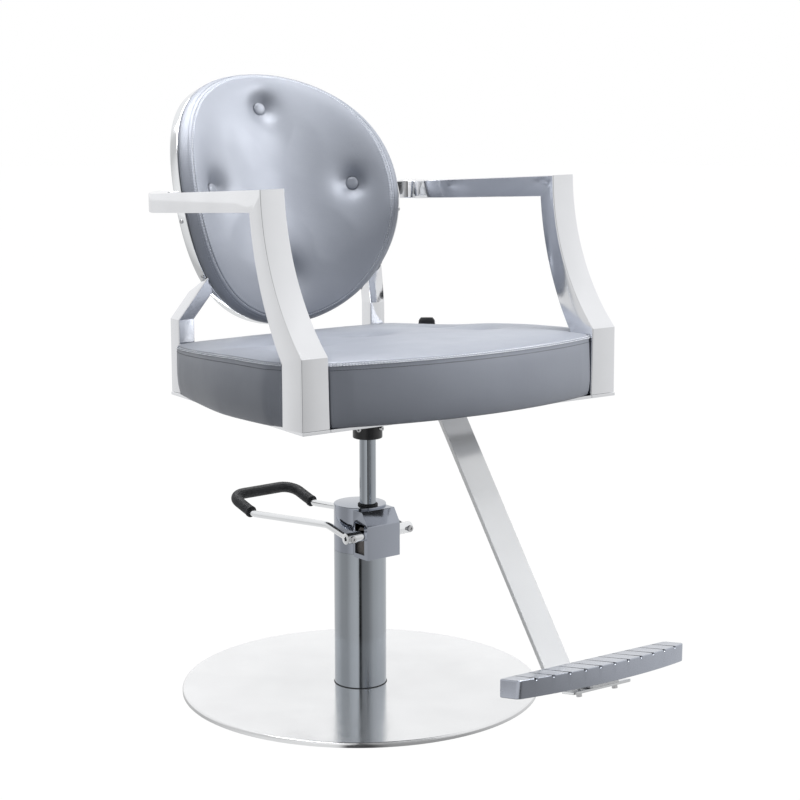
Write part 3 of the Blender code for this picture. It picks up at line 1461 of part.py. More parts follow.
def make_rest_plate(swivel, rise):
    top = [(x, y, rest_top_z(y, rise)) for x, y in rest_outline(0.0)]
    mid = [(x, y, z - REST_EDGE) for x, y, z in top]
    low = [(x, y, z - REST_PLATE_H) for x, y, z in top]
    rim = [(x, y, rest_top_z(y, rise)) for x, y in rest_outline(REST_EDGE)]
    plate = add_mesh("footrest_plate", loft([rim, mid, low]), CAST_FOOTREST, swivel, sharp=30)

    grooves = bmesh.new()
    pitch = 2 * REST_PLATE_HALF / REST_RIBS
    rear_y = REST_FRONT_Y + REST_END_DEPTH + REST_GROOVE_W
    for i in range(1, REST_RIBS):
        x = -REST_PLATE_HALF + pitch * i
        bow = REST_FRONT_BOW * (1 - (x / REST_PLATE_HALF) ** 2)
        front_y = REST_FRONT_Y - bow - REST_GROOVE_W
        rings = []
        for y, share in ((rear_y, REST_GROOVE_REAR), (front_y, 1.0)):
            z = rest_top_z(y, rise)
            half = 0.5 * REST_GROOVE_W * share
            deep = REST_GROOVE_D * share
            foot = REST_GROOVE_FLOOR * half
            high = z + CUT_OVERRUN
            rings.append([(x - half, y, high), (x + half, y, high), (x + half, y, z),
                          (x + foot, y, z - deep), (x - foot, y, z - deep), (x - half, y, z)])
        piece = loft(rings)
        mesh = bpy.data.meshes.new("groove")
        piece.to_mesh(mesh)
        piece.free()
        grooves.from_mesh(mesh)
        bpy.data.meshes.remove(mesh)
    cut(plate, add_mesh("footrest_grooves", grooves, CAST_FOOTREST, swivel))

    for side, name in ((-1, "right"), (1, "left")):
        outline = [
            (side * REST_POCKET_X, REST_FRONT_Y + REST_END_DEPTH - REST_POCKET_WALL),
            (side * REST_POCKET_X, REST_FRONT_Y - 0.5 * REST_FRONT_BOW + REST_POCKET_WALL),
            (side * (REST_PLATE_HALF - REST_POCKET_WALL), REST_FRONT_Y + REST_POCKET_WALL + REST_POCKET_CORNER),
            (side * (REST_PLATE_HALF - REST_POCKET_WALL), REST_FRONT_Y + REST_END_DEPTH - REST_POCKET_WALL),
        ]
        roof = [(x, y, rest_top_z(y, rise) - REST_PLATE_H + REST_POCKET_D) for x, y in outline]
        mouth = [(x, y, z - 2 * REST_PLATE_H) for x, y, z in roof]
        cut(plate, add_mesh("footrest_pocket_" + name, loft([roof, mouth]), CAST_FOOTREST, swivel))


def make_rest_clamp(swivel, under_plate_z, foot_front_y):
    """The plate under the footrest, held by two bolts, with the bar's foot passing over it."""
    foot_drop = REST_BAR_T / math.cos(REST_TILT) + 2 * GAP
    y0 = foot_front_y + CLAMP_PLATE_BACK
    y1 = y0 + CLAMP_PLATE_Y
    half = 0.5 * CLAMP_PLATE_X
    top = [
        (x, y, under_plate_z(y) - foot_drop)
        for x, y in box_outline(-half, half, y0, y1)
    ]
    low = [(x, y, z - CLAMP_PLATE_T) for x, y, z in top]
    clamp = add_mesh("footrest_clamp", loft([top, low]), CHROME, swivel)

    bolt_y = 0.5 * (y0 + y1)
    seat_z = under_plate_z(bolt_y) - foot_drop - CLAMP_PLATE_T
    grip_top = under_plate_z(bolt_y)
    head_room = REST_BOLT_HEAD_R * math.tan(REST_TILT) + GAP
    for side, name in ((-1, "right"), (1, "left")):
        head = lathe(
            [
                (0.0, grip_top + REST_BOLT_GRIP),
                (REST_BOLT_R, grip_top + REST_BOLT_GRIP),
                (REST_BOLT_R, seat_z - head_room),
                (REST_BOLT_HEAD_R, seat_z - head_room),
                (REST_BOLT_HEAD_R, seat_z - head_room - REST_BOLT_HEAD_H),
                (0.0, seat_z - head_room - REST_BOLT_HEAD_H),
            ],
            6,
        )
        place = (side * REST_BOLT_X, bolt_y, 0.0)
        add_mesh("footrest_bolt_" + name, head, STEEL, swivel, location=place, sharp=20)
        hole_low, hole_high = seat_z - 2 * CUT_OVERRUN, grip_top + REST_BOLT_GRIP + GAP
        hole = lathe(disc_profile(REST_BOLT_R + BOLT_GAP, hole_low, hole_high), 6)
        cutter = add_mesh("footrest_bolt_hole_" + name, hole, STEEL, swivel, location=place)
        cut(clamp, cutter)
        cut(bpy.data.objects["footrest_plate"], cutter)


# ---------------------------------------------------------------- swivel lock lever


def make_lock_lever(swivel):
    """A bent rod under the seat frame with a black grip beside the cushion, on its own pivot."""
    pivot = empty("lock_pivot_axis", (*LOCK_PIVOT, 0.0), parent=swivel)
    eye_top = frame_plane_z(LOCK_PIVOT[1]) - SWIVEL_PLATE_H - LOCK_DROP
    rod_z = eye_top - 0.5 * LOCK_EYE_H
    reach = Vector((LOCK_TIP[0] - LOCK_PIVOT[0], LOCK_TIP[1] - LOCK_PIVOT[1], 0.0))
    along = reach.normalized()
    low_z = frame_plane_z(LOCK_TIP[1]) - 2 * LOCK_ROD_R - LOCK_ROD_CLEAR
    grip_low = LOCK_GRIP_TOP_Z - LOCK_GRIP_H
    start = along * (LOCK_EYE_R - LOCK_EYE_SINK)
    corners = [
        (start.x, start.y, rod_z),
        (along.x * LOCK_STRAIGHT, along.y * LOCK_STRAIGHT, rod_z),
        (reach.x * 0.5, reach.y * 0.5, low_z),
        (reach.x, reach.y, low_z),
        (reach.x, reach.y, grip_low - GAP),
    ]
    path = rounded(corners, [LOCK_BEND_R, LOCK_BEND_R, LOCK_BEND_R], 4)
    lever = add_mesh(
        "lock_lever", loft(tube_rings(path, [LOCK_ROD_R] * len(path), 10)), STEEL, pivot, sharp=60
    )
    eye = lathe(disc_profile(LOCK_EYE_R, eye_top - LOCK_EYE_H, eye_top), 20)
    join(lever, add_mesh("lock_eye", eye, STEEL, pivot))
    pin_top = frame_plane_z(LOCK_PIVOT[1] + LOCK_PIN_R) - SWIVEL_PLATE_H - 3 * GAP
    eye_hole = lathe(disc_profile(LOCK_PIN_R + GAP, eye_top - 2 * LOCK_EYE_H, pin_top), 16)
    cut(lever, add_mesh("lock_eye_hole", eye_hole, STEEL, pivot))

    head_high = eye_top - LOCK_EYE_H - GAP
    pin = lathe(
        [
            (0.0, pin_top),
            (LOCK_PIN_HEAD_R, pin_top),
            (LOCK_PIN_HEAD_R, eye_top + GAP),
            (LOCK_PIN_R, eye_top + GAP),
            (LOCK_PIN_R, head_high),
            (LOCK_PIN_HEAD_R, head_high),
            (LOCK_PIN_HEAD_R, head_high - LOCK_PIN_HEAD_H),
            (0.0, head_high - LOCK_PIN_HEAD_H),
        ],
        16,
    )
    add_mesh("lock_pivot_pin", pin, STEEL, swivel, location=(*LOCK_PIVOT, 0.0))

    across = Vector((math.cos(LOCK_GRIP_TURN), math.sin(LOCK_GRIP_TURN), 0.0))
    through = Vector((0.0, 0.0, 1.0)).cross(across)
    rings = []
    for share, inset in ((0.0, 0.72), (0.12, 0.95), (0.5, 1.0), (0.88, 0.97), (1.0, 0.78)):
        z = grip_low + LOCK_GRIP_H * share
        ring = []
        for k in range(12):
            angle = 2 * math.pi * k / 12
            flat = abs(math.cos(angle)) ** 0.6 * math.copysign(1, math.cos(angle))
            deep = abs(math.sin(angle)) ** 0.6 * math.copysign(1, math.sin(angle))
            offset = across * (0.5 * LOCK_GRIP_W * inset * flat) + through * (0.5 * LOCK_GRIP_T * inset * deep)
            ring.append((reach.x + offset.x, reach.y + offset.y, z))
        rings.append(ring)
    add_mesh("lock_grip", loft(rings), BLACK_PLASTIC, pivot, sharp=50)


# ---------------------------------------------------------------- assembly


def main():
    clear_scene()
    pump = empty("pump_axis", (0.0, 0.0, 0.0), (0.0, 0.0, PUMP_TURN))
    piston = (0.0, -PISTON_OFFSET, 0.0)
    plate_high = make_base(pump)
    plug_low = make_column(pump, plate_high)
    make_pump_head(pump, piston, plug_low)
    make_head_cover(pump, piston)
    make_plunger(pump, plug_low)
    lever = empty("lever_axis", (0.0, -SHAFT_FORWARD, SHAFT_Z), parent=pump)
    make_foot_lever(lever)

    swivel_place = (PISTON_OFFSET * math.sin(PUMP_TURN), -PISTON_OFFSET * math.cos(PUMP_TURN), 0.0)
    piston_axis = empty("piston_axis", swivel_place)
    make_piston(piston_axis)
    swivel = empty("seat_swivel", swivel_place)
    plane = empty("seat_plane", (0.0, FRAME_FRONT_Y, FRAME_Z), (-FRAME_DROP, 0.0, 0.0), swivel)
    make_seat_frame(plane, swivel)
    make_arms_and_legs(swivel)
    make_back(swivel)
    make_seat(plane)
    make_footrest(swivel)
    make_lock_lever(swivel)


main()
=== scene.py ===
"""Looks of a hydraulic styling chair: metal finishes, padded leatherette, seams and small fasteners.

Metres, +Z up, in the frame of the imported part. The origin is the middle of the base disc on the floor,
the sitter faces -Y and +X is the sitter's left. Pump pieces are laid out in a frame turned a little about
the column, seat pieces about the piston's axis, and the seat cushion in the sloping plane of its frame.
"""

import json
import math

import bmesh
import bpy
import numpy as np
from mathutils import Matrix, Vector

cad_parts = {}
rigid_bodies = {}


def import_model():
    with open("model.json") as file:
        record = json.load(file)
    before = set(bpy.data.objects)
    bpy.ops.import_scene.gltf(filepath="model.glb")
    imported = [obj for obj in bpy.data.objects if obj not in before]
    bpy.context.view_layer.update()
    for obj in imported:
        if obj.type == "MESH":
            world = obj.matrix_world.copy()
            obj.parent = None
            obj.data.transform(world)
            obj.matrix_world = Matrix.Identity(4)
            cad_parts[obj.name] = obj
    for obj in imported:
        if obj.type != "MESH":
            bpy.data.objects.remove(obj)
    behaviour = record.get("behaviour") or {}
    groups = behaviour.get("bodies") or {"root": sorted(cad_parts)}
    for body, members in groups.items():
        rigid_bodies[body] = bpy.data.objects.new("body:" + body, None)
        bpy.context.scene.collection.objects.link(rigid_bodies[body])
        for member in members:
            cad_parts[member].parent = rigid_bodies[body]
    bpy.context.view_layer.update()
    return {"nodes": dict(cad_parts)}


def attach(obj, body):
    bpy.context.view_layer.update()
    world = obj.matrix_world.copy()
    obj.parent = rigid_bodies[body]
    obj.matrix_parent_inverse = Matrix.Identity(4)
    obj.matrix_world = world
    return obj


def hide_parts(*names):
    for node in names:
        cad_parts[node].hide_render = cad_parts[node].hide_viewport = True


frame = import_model()

# ---------------------------------------------------------------- sizes

# Clearance between pieces that touch, and the wider one round what turns or slides
GAP = 0.0003
RUNNING_FIT = 0.0004
# Points closer than this are one point
WELD = 0.00001
# How far a cutter reaches past the face that it opens
CUT_PAST = 0.01
ROUND_STEPS = 160
SMALL_STEPS = 48

# Frames that the pieces are laid out in
PUMP_TURN = math.radians(4)
PISTON_OFFSET = 0.0216
FRAME_FRONT_Y = -0.2764
FRAME_Z = 0.5156
FRAME_DROP = math.radians(3.205)
SHAFT_FORWARD = 0.0489
SHAFT_Z = 0.2775
PUMP = Matrix.Rotation(PUMP_TURN, 4, "Z")
SEAT = Matrix.Translation(
    (PISTON_OFFSET * math.sin(PUMP_TURN), -PISTON_OFFSET * math.cos(PUMP_TURN), 0.0)
)
PLANE = SEAT @ Matrix.Translation((0.0, FRAME_FRONT_Y, FRAME_Z)) @ Matrix.Rotation(-FRAME_DROP, 4, "X")
LEVER = PUMP @ Matrix.Translation((0.0, -SHAFT_FORWARD, SHAFT_Z))

# Base and column
PAD_H = 0.002
DISC_R = 0.300
DISC_H = 0.010
DISC_EDGE_R = 0.004
COVER_WALL = 0.0015
COVER_ROOF_Z = 0.0081
TUBE_R = 0.0436
TUBE_WALL = 0.003
JOINT_Z = 0.2420
ROD_R = 0.0136
ROD_LOW_Z = 0.1243
ROD_TOP_Z = 0.4870
ROD_CHAMFER = 0.003
WIPER_W = 0.0028
WIPER_H = 0.0034
WIPER_SLOPE = 0.0012
WIPER_LIP = (0.0009, 0.0016)
FOOT_SEAL_W = 0.0012

# Pump cover
HEAD_TOP_Z = 0.3200
HEAD_WALL = 0.003
HEAD_LID = 0.005
HEAD_EDGE = 0.0012
HOUSING_HALF_W = 0.034
HOUSING_FRONT = 0.0647
HOUSING_BOTTOM_Z = 0.2379
HOUSING_FACE_TOP_Z = 0.2939
HOUSING_SHOULDER = 0.0497
HOUSING_SHOULDER_Z = 0.3167
SLOT_BACK = 0.031
SLOT_FRONT = 0.056
SLOT_BOTTOM_Z = 0.2455
SLOT_TOP_Z = 0.2962
LUG_OUTER = 0.0300

# Foot lever
SHAFT_R = 0.0095
SHAFT_HALF_L = 0.0674
SHAFT_HOLE_R = 0.0035
SHAFT_HOLE_L = 0.012
BAR_R = 0.00575
BAR_SHAFT_X = 0.0595
BAR_SEAT = 0.0040
BAR_KNEE = (0.0600, 0.0100, 0.2890)
BAR_DIP = (0.0650, 0.2200, 0.2680)
BAR_CROSS = (0.0650, 0.2900, 0.2875)
BAR_KNEE_R = 0.040
BAR_DIP_R = 0.050
BAR_CORNER_R = 0.026
GRIP_R = 0.0095
GRIP_RIPPLE = 0.00022
GRIP_RIPPLES = 84
POINTS_PER_RIPPLE = 6.0
GRIP_START = 0.226
CLAMP_HEAD_R = 0.0057
CLAMP_HEAD_H = 0.0030
SHAFT_EDGE = 0.0014
SHAFT_HOLE_EDGE = 0.0006
CUFF_RISE = 0.0007
CUFF_EDGE = 0.0008
CUFF_L = 0.0056
CUFF_RIM = 0.0014

# Swivel and seat frame
SOCKET_R = 0.0245
SOCKET_Z = 0.434
SOCKET_EDGE = 0.0015
SOCKET_TOP_GAP = 0.0012
COLLAR_SCREW_R = 0.0042
COLLAR_SCREW_H = 0.0046
COLLAR_SCREW_TURNS = (-154, -64)
COLLAR_SCREW_DROP = 0.012
SWIVEL_PLATE_H = 0.006
FRAME_L = 0.5669
FRAME_HALF_FRONT = 0.2946
FRAME_HALF_REAR = 0.2090
FRAME_T = 0.005
SIDE_RAIL_W = 0.048
FRONT_RAIL_W = 0.090
REAR_RAIL_W = 0.042

# Arm frames and legs
POST_OUTER_X = 0.2946
POST_FOOT_INNER_X = 0.2460
POST_TOP_INNER_X = 0.2520
POST_FRONT_FOOT_Y = -0.2744
POST_REAR_FOOT_Y = -0.2188
POST_FRONT_KINK = (-0.2734, 0.6268)
POST_FRONT_MID = (-0.1958, 0.7288)
POST_FRONT_TOP = (-0.1624, 0.8634)
POST_REAR_KINK = (-0.2188, 0.6130)
POST_REAR_MID = (-0.1606, 0.7127)
POST_REAR_TOP = (-0.1304, 0.8273)
ARM_END_Y = 0.2136
ARM_END_TOP_Z = 0.8330
ARM_END_BOTTOM_Z = 0.8014
ARM_END_OUTER_X = 0.2770
ARM_END_INNER_X = 0.2450
RETURN_BEND_R = 0.018
RETURN_DEPTH = 0.030
RETURN_END_X = 0.1900
ARM_EDGE = 0.0020
LEG_W = 0.030
LEG_OUTER_X = 0.2085
LEG_Y = 0.2736
LEG_KINK_Z = 0.615
LEG_TOP = (0.1520, 0.2230, 0.7040)
LEG_EDGE = 0.0018

# Back
BACK_Y = 0.2925
BACK_Z = 0.8111
BACK_LEAN = math.radians(16.54)
BACK_BEND_R = 0.272
BACK_SEAM_R = 0.2136
BACK_CUSHION_T = 0.0240
BACK_CUSHION_FLARE = 0.0075
BACK_CROWN = 0.018
BACK_TUFT_R = 0.146
BACK_TUFT_RISE = 0.009
BACK_TUFT_D = 0.018
BACK_PIT_SPREAD = 0.016
BUTTON_R = 0.0115
BUTTON_H = 0.0055
RING_R = 0.2190
RING_T = 0.008
RING_DEPTH = 0.014
RING_EDGE = 0.0016
# Screws in the hoop as (turn in degrees, depth behind the seam)
HOOP_SCREWS = ((192, 0.034), (218, 0.030), (-12, 0.034), (-38, 0.030))
HOOP_SCREW_R = 0.0036
HOOP_SCREW_H = 0.0018
# How much further out a second point is taken, to find which way the hoop and its screws face
OUT_STEP = 0.001
SCREW_OUT_STEP = 0.01
BOARD_T = 0.009
REAR_PANEL_T = 0.0045
REAR_PANEL_CROWN = 0.004
REAR_PANEL_MARGIN = 0.004
REAR_SEAM_INSET = 0.009
BACK_ROOM_FRONT = 0.060
BACK_ROOM_REAR = 0.075
SOFT_GAP = 0.0010
# Where the band behind the seam of the back tucks in, as a share of its depth, and by how much
TUCK_FROM = 0.85
TUCK_IN = 0.0035

# Seat cushion
SEAT_SEAM_H = 0.0950
SEAT_CROWN = 0.0060
SEAT_FRONT_X = 0.2452
SEAT_FRONT_Y = -0.0030
SEAT_FRONT_BOW = 0.0490
SEAT_FRONT_CORNER_R = 0.010
SEAT_NOTCH_R = 0.005
SEAT_SHOULDER_R = 0.011
SEAT_POST_GAP = 0.0025
SEAT_SIDE = ((0.2925, 0.0850), (0.2957, 0.1200), (0.2854, 0.2600), (0.2487, 0.4180), (0.2310, 0.4830))
SEAT_REAR_Y = 0.5265
SEAT_REAR_DROP = 0.013
SEAT_DROP_FROM_Y = 0.17
SEAT_REAR_R = 0.030
# How much the sides still narrow behind their last point, and how far the front corners are cut
SEAT_REAR_LEAN = 0.012
SEAT_NOSE = 0.004
SEAT_BULGE = 0.0090
SEAT_MIDDLE_Y = 0.265
SEAT_TUFTS = ((0.0, 0.272), (0.178, 0.222), (-0.178, 0.222), (0.178, 0.345), (-0.178, 0.345))
SEAT_TUFT_D = 0.017
SEAT_PIT_SPREAD = 0.030
SEAT_BOARD_T = 0.009
SEAT_BOARD_SHARE = 0.90
SEAT_SKIRT_SHARE = 0.955

# Sewing
STITCH_PITCH = 0.0048
STITCH_L = 0.0034
THREAD_R = 0.00032
SEAT_THREAD_R = 0.0006
SEAM_DENT_W = 0.0011
SEAM_LIP_AT = 0.0026
SEAM_LIP_W = 0.0014
SEAM_LIP_SHARE = 0.35
PUCKER_REACH = 0.0042

# Footrest
REST_BAR_W = 0.049
REST_BAR_T = 0.008
REST_BAR_TOP = (-0.2464, 0.5000)
REST_BAR_BOTTOM = (-0.4974, 0.1840)
REST_TAB_L = 0.045
REST_BAR_BEND_R = 0.012
REST_PLATE_HALF = 0.153
REST_PLATE_H = 0.027
REST_FRONT_Y = -0.6054
REST_FRONT_Z = 0.2175
REST_FRONT_BOW = 0.024
REST_END_DEPTH = 0.044
REST_TILT = math.radians(11.6)
REST_RISE = math.tan(REST_TILT)
REST_CORNER_R = 0.010
REST_EDGE = 0.0016
REST_RIBS = 12
REST_GROOVE_W = 0.0030
REST_GROOVE_D = 0.0030
REST_NOTCH_R = 0.0027
REST_NOTCH_IN = 0.0002
REST_NOTCH_LOW = 0.0012
REST_CUT_PAST = 0.004
CLAMP_PLATE_X = 0.106
CLAMP_PLATE_Y = 0.030
CLAMP_PLATE_T = 0.004
REST_BOLT_X = 0.033
REST_BOLT_R = 0.0045
REST_BOLT_H = 0.0070
REST_BOLT_CHAMFER = 0.0022

# Swivel lock lever, from its pivot out to the grip behind the seat, in plan
LOCK_PIVOT = (0.055, 0.035)
LOCK_TIP = (0.272, 0.2172)
LOCK_ROD_R = 0.004
LOCK_BEND_R = 0.014
LOCK_DROP = 0.0100
LOCK_STRAIGHT = 0.030
LOCK_UNDER = 0.004
LOCK_EYE_HOLE_R = 0.0038
LOCK_EYE_R = 0.009
LOCK_EYE_H = 0.009
LOCK_GRIP_W = 0.030
LOCK_GRIP_T = 0.014
LOCK_GRIP_H = 0.040
LOCK_GRIP_TOP_Z = 0.586
LOCK_GRIP_TURN = math.radians(-34.4)

# ---------------------------------------------------------------- finishes


def fill_ramp(node, stops):
    """Sets the stops of a colour ramp, each a position and a colour."""
    elements = node.color_ramp.elements
    while len(elements) < len(stops):
        elements.new(0.5)
    for element, (position, colour) in zip(elements, stops):
        element.position = position
        element.color = (*colour, 1.0)


def set_socket(tree, socket, value):
    """Links a socket to another one, or sets it to a plain value."""
    if isinstance(value, bpy.types.NodeSocket):
        tree.links.new(value, socket)
    else:
        socket.default_value = value


def math_node(tree, operation, *values):
    """Adds a Math node to any tree and returns its result."""
    made = tree.nodes.new("ShaderNodeMath")
    made.operation = operation
    for socket, value in zip(made.inputs, values):
        set_socket(tree, socket, value)
    return made.outputs["Value"]


class Finish:
    """One node material, and the name of the record's slot that it is meant for; the slot is not used."""

    def __init__(self, name, slot, colour, metallic, roughness):
        self.material = bpy.data.materials.new(name)
        self.material.use_nodes = True
        self.slot = slot
        self.nodes = self.material.node_tree.nodes
        self.links = self.material.node_tree.links
        self.shader = self.nodes["Principled BSDF"]
        self.shader.inputs["Base Color"].default_value = (*colour, 1.0)
        self.shader.inputs["Metallic"].default_value = metallic
        self.shader.inputs["Roughness"].default_value = roughness
        self.coordinates = self.nodes.new("ShaderNodeTexCoord")

    def mapped(self, scale):
        mapping = self.nodes.new("ShaderNodeMapping")
        mapping.inputs["Scale"].default_value = scale
        self.links.new(self.coordinates.outputs["Object"], mapping.inputs["Vector"])
        return mapping.outputs["Vector"]

    def noise(self, scale, detail=2.0, stretch=(1.0, 1.0, 1.0)):
        noise = self.nodes.new("ShaderNodeTexNoise")
        noise.inputs["Scale"].default_value = scale
        noise.inputs["Detail"].default_value = detail
        self.links.new(self.mapped(stretch), noise.inputs["Vector"])
        return noise.outputs["Fac"]

    def pebbles(self, scale):
        cells = self.nodes.new("ShaderNodeTexVoronoi")
        cells.feature = "DISTANCE_TO_EDGE"
        cells.inputs["Scale"].default_value = scale
        self.links.new(self.mapped((1.0, 1.0, 1.0)), cells.inputs["Vector"])
        return cells.outputs["Distance"]

    def ramp(self, value, stops):
        ramp = self.nodes.new("ShaderNodeValToRGB")
        fill_ramp(ramp, stops)
        self.links.new(value, ramp.inputs["Fac"])
        return ramp.outputs["Color"]

    def spread(self, value, low, high):
        """Maps a noise value to a range about its middle."""
        spread = self.nodes.new("ShaderNodeMapRange")
        spread.inputs["From Min"].default_value = 0.25
        spread.inputs["From Max"].default_value = 0.75
        spread.inputs["To Min"].default_value = low
        spread.inputs["To Max"].default_value = high
        self.links.new(value, spread.inputs["Value"])
        return spread.outputs["Result"]

    def bump(self, height, strength, distance, below=None):
        bump = self.nodes.new("ShaderNodeBump")
        bump.inputs["Strength"].default_value = strength
        bump.inputs["Distance"].default_value = distance
        self.links.new(height, bump.inputs["Height"])
        if below is not None:
            self.links.new(below, bump.inputs["Normal"])
        return bump.outputs["Normal"]

    def use(self, socket, value):
        self.links.new(value, self.shader.inputs[socket])


def bright_metal(name, slot, tint, roughness, grain, metallic=1.0):
    """Plated or polished metal with faint cloudiness and polishing lines."""
    made = Finish(name, slot, tint, metallic, roughness)
    dull = [c * 0.94 for c in tint]
    made.use("Base Color", made.ramp(made.noise(9.0, 3.0), [(0.3, tint), (0.7, dull)]))
    made.use("Roughness", made.spread(made.noise(38.0, 4.0), roughness * 0.75, roughness * 1.35))
    lines = made.noise(260.0, 3.0, grain)
    made.use("Normal", made.bump(lines, 0.05, 0.0004))
    return made


def leatherette():
    """Blue-grey coated cloth: pearly sheen, fine pebble grain and soft stretch marks."""
    dark, plain, pale = (0.234, 0.250, 0.290), (0.256, 0.273, 0.314), (0.278, 0.295, 0.336)
    made = Finish("leatherette_blue_grey", "leatherette", plain, 0.34, 0.46)
    made.use("Base Color", made.ramp(made.noise(5.0, 4.0), [(0.25, dark), (0.5, plain), (0.75, pale)]))
    made.use("Roughness", made.spread(made.noise(24.0, 3.0), 0.46, 0.54))
    made.shader.inputs["Coat Weight"].default_value = 0.12
    made.shader.inputs["Coat Roughness"].default_value = 0.42
    stretch = made.bump(made.noise(34.0, 3.0, (1.0, 1.0, 1.6)), 0.10, 0.002)
    pebble = made.bump(made.pebbles(950.0), 0.16, 0.0003, stretch)
    made.use("Normal", pebble)
    return made


def rubber(name, slot, colour, roughness):
    """Black rubber or plastic with a fine moulded grain."""
    made = Finish(name, slot, colour, 0.0, roughness)
    lighter = [c * 1.5 + 0.006 for c in colour]
    made.use("Base Color", made.ramp(made.noise(60.0, 4.0), [(0.3, colour), (0.75, lighter)]))
    made.use("Roughness", made.spread(made.noise(120.0, 3.0), roughness * 0.85, roughness * 1.1))
    made.use("Normal", made.bump(made.noise(900.0, 4.0), 0.25, 0.0004))
    return made


def casting(name, slot, tint, roughness, metallic=0.9, grain=0.20, groove_shade_reach=0.0):
    """Satin metal with a fine grain. Its last argument, when not zero, is how far the painted shade reaches
    that darkens the colour in grooves and hollows.
    """
    made = Finish(name, slot, tint, metallic, roughness)
    dull = [c * (0.82 if groove_shade_reach == 0.0 else 0.94) for c in tint]
    colour = made.ramp(made.noise(30.0, 5.0), [(0.3, tint), (0.75, dull)])
    if groove_shade_reach:
        # Painted shade: an Ambient Occlusion node darkens the colour in grooves and hollows, where shade
        # falls
        hollow = made.nodes.new("ShaderNodeAmbientOcclusion")
        hollow.inputs["Distance"].default_value = groove_shade_reach
        groove_shade = made.ramp(hollow.outputs["AO"], [(0.35, (0.05, 0.055, 0.065)), (0.8, (1.0, 1.0, 1.0))])
        blend = made.nodes.new("ShaderNodeVectorMath")
        blend.operation = "MULTIPLY"
        made.links.new(colour, blend.inputs[0])
        made.links.new(groove_shade, blend.inputs[1])
        colour = blend.outputs["Vector"]
    made.use("Base Color", colour)
    made.use("Roughness", made.spread(made.noise(90.0, 4.0), roughness * 0.85, roughness * 1.2))
    made.use("Normal", made.bump(made.noise(1300.0, 3.0), grain, 0.0003))
    return made


def plywood():
    """The boards inside the seat and the back, stained dark."""
    made = Finish("dark_stained_plywood", "plywood", (0.10, 0.10, 0.105), 0.0, 0.62)
    grain = made.noise(26.0, 6.0, (1.0, 14.0, 30.0))
    made.use("Base Color", made.ramp(grain, [(0.3, (0.080, 0.080, 0.085)), (0.7, (0.125, 0.122, 0.120))]))
    made.use("Normal", made.bump(grain, 0.15, 0.0006))
    return made


def thread(name, colour):
    """Sewing thread with a soft sheen."""
    made = Finish(name, "leatherette", colour, 0.0, 0.55)
    paler = [min(1.0, c * 1.2) for c in colour]
    made.use("Base Color", made.ramp(made.noise(2500.0), [(0.3, colour), (0.7, paler)]))
    made.shader.inputs["Sheen Weight"].default_value = 0.3
    return made


MIRROR = bright_metal("mirror_chrome", "chrome", (0.86, 0.875, 0.89), 0.10, (1.0, 1.0, 0.2))
DISC = bright_metal("disc_chrome", "chrome", (0.95, 0.955, 0.965), 0.15, (1.0, 1.0, 0.2), 0.84)
STRUT = bright_metal("strut_chrome", "chrome", (0.95, 0.955, 0.965), 0.20, (1.0, 1.0, 0.2), 0.35)
COLUMN = bright_metal("column_chrome", "chrome", (0.385, 0.415, 0.45), 0.10, (1.0, 1.0, 0.08))
HOUSING = bright_metal("pump_chrome", "chrome", (0.375, 0.40, 0.455), 0.10, (1.0, 1.0, 1.0))
POLISHED = bright_metal(
    "polished_arm_metal", "polished_aluminium", (0.89, 0.90, 0.925), 0.09, (3.0, 0.3, 0.3)
)
ZINC = bright_metal("zinc_plated_steel", "zinc_steel", (0.58, 0.58, 0.59), 0.26, (1.0, 1.0, 1.0))
BLACK_STEEL = casting("black_painted_steel", "black_steel", (0.035, 0.037, 0.042), 0.45, 0.3)
CAST = casting("pump_casting_metal", "pump_casting", (0.16, 0.15, 0.145), 0.50)
# The footrest's finish has painted shade in its grooves, darkened there by ambient occlusion
FOOTREST = casting("satin_footrest_metal", "footrest_casting", (0.51, 0.54, 0.61), 0.24, 1.0, 0.03, 0.005)
BLACK_PLASTIC = rubber("black_plastic", "black_plastic", (0.012, 0.012, 0.014), 0.38)
RUBBER = rubber("black_rubber", "black_rubber", (0.016, 0.017, 0.020), 0.55)
LEATHER = leatherette()
PLYWOOD = plywood()
THREAD = thread("pale_thread", (0.74, 0.76, 0.80))
DARK_THREAD = thread("dark_thread", (0.035, 0.038, 0.05))

# ---------------------------------------------------------------- mesh helpers


def dress(obj, finish):
    """Gives an object one finish and nothing else."""
    obj.data.materials.clear()
    obj.data.materials.append(finish.material)


def add_piece(name, mesh, finish, body, replaces=()):
    """Links a mesh that is already in its place, attaches it to the body that it rides on and hides the CAD
    parts that it stands for.
    """
    obj = bpy.data.objects.new(name, mesh)
    bpy.context.scene.collection.objects.link(obj)
    dress(obj, finish)
    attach(obj, body)
    if replaces:
        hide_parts(*replaces)
    return obj


def finished_mesh(name, bm, place=Matrix.Identity(4), sharp=24):
    """Closes a bmesh, points its faces outwards and puts it in its place."""
    bmesh.ops.remove_doubles(bm, verts=bm.verts, dist=WELD)
    bmesh.ops.recalc_face_normals(bm, faces=bm.faces)
    mesh = bpy.data.meshes.new(name)
    bm.to_mesh(mesh)
    bm.free()
    mesh.transform(place)
    mesh.shade_smooth()
    mesh.set_sharp_from_angle(angle=math.radians(sharp))
    return mesh


def soften(obj, width, segments=3, angle=32):
    """Rounds the hard edges of a piece and keeps its flats flat."""
    bevel = obj.modifiers.new("edge_radius", "BEVEL")
    bevel.width = width
    bevel.segments = segments
    bevel.limit_method = "ANGLE"
    bevel.angle_limit = math.radians(angle)
    bevel.use_clamp_overlap = True
    flats = obj.modifiers.new("flat_faces", "WEIGHTED_NORMAL")
    flats.keep_sharp = False
    flats.weight = 80
    return obj


def baked(obj):
    """Turns what the modifiers make into the object's own mesh."""
    graph = bpy.context.evaluated_depsgraph_get()
    mesh = bpy.data.meshes.new_from_object(obj.evaluated_get(graph), depsgraph=graph)
    bpy.data.objects.remove(obj)
    return mesh


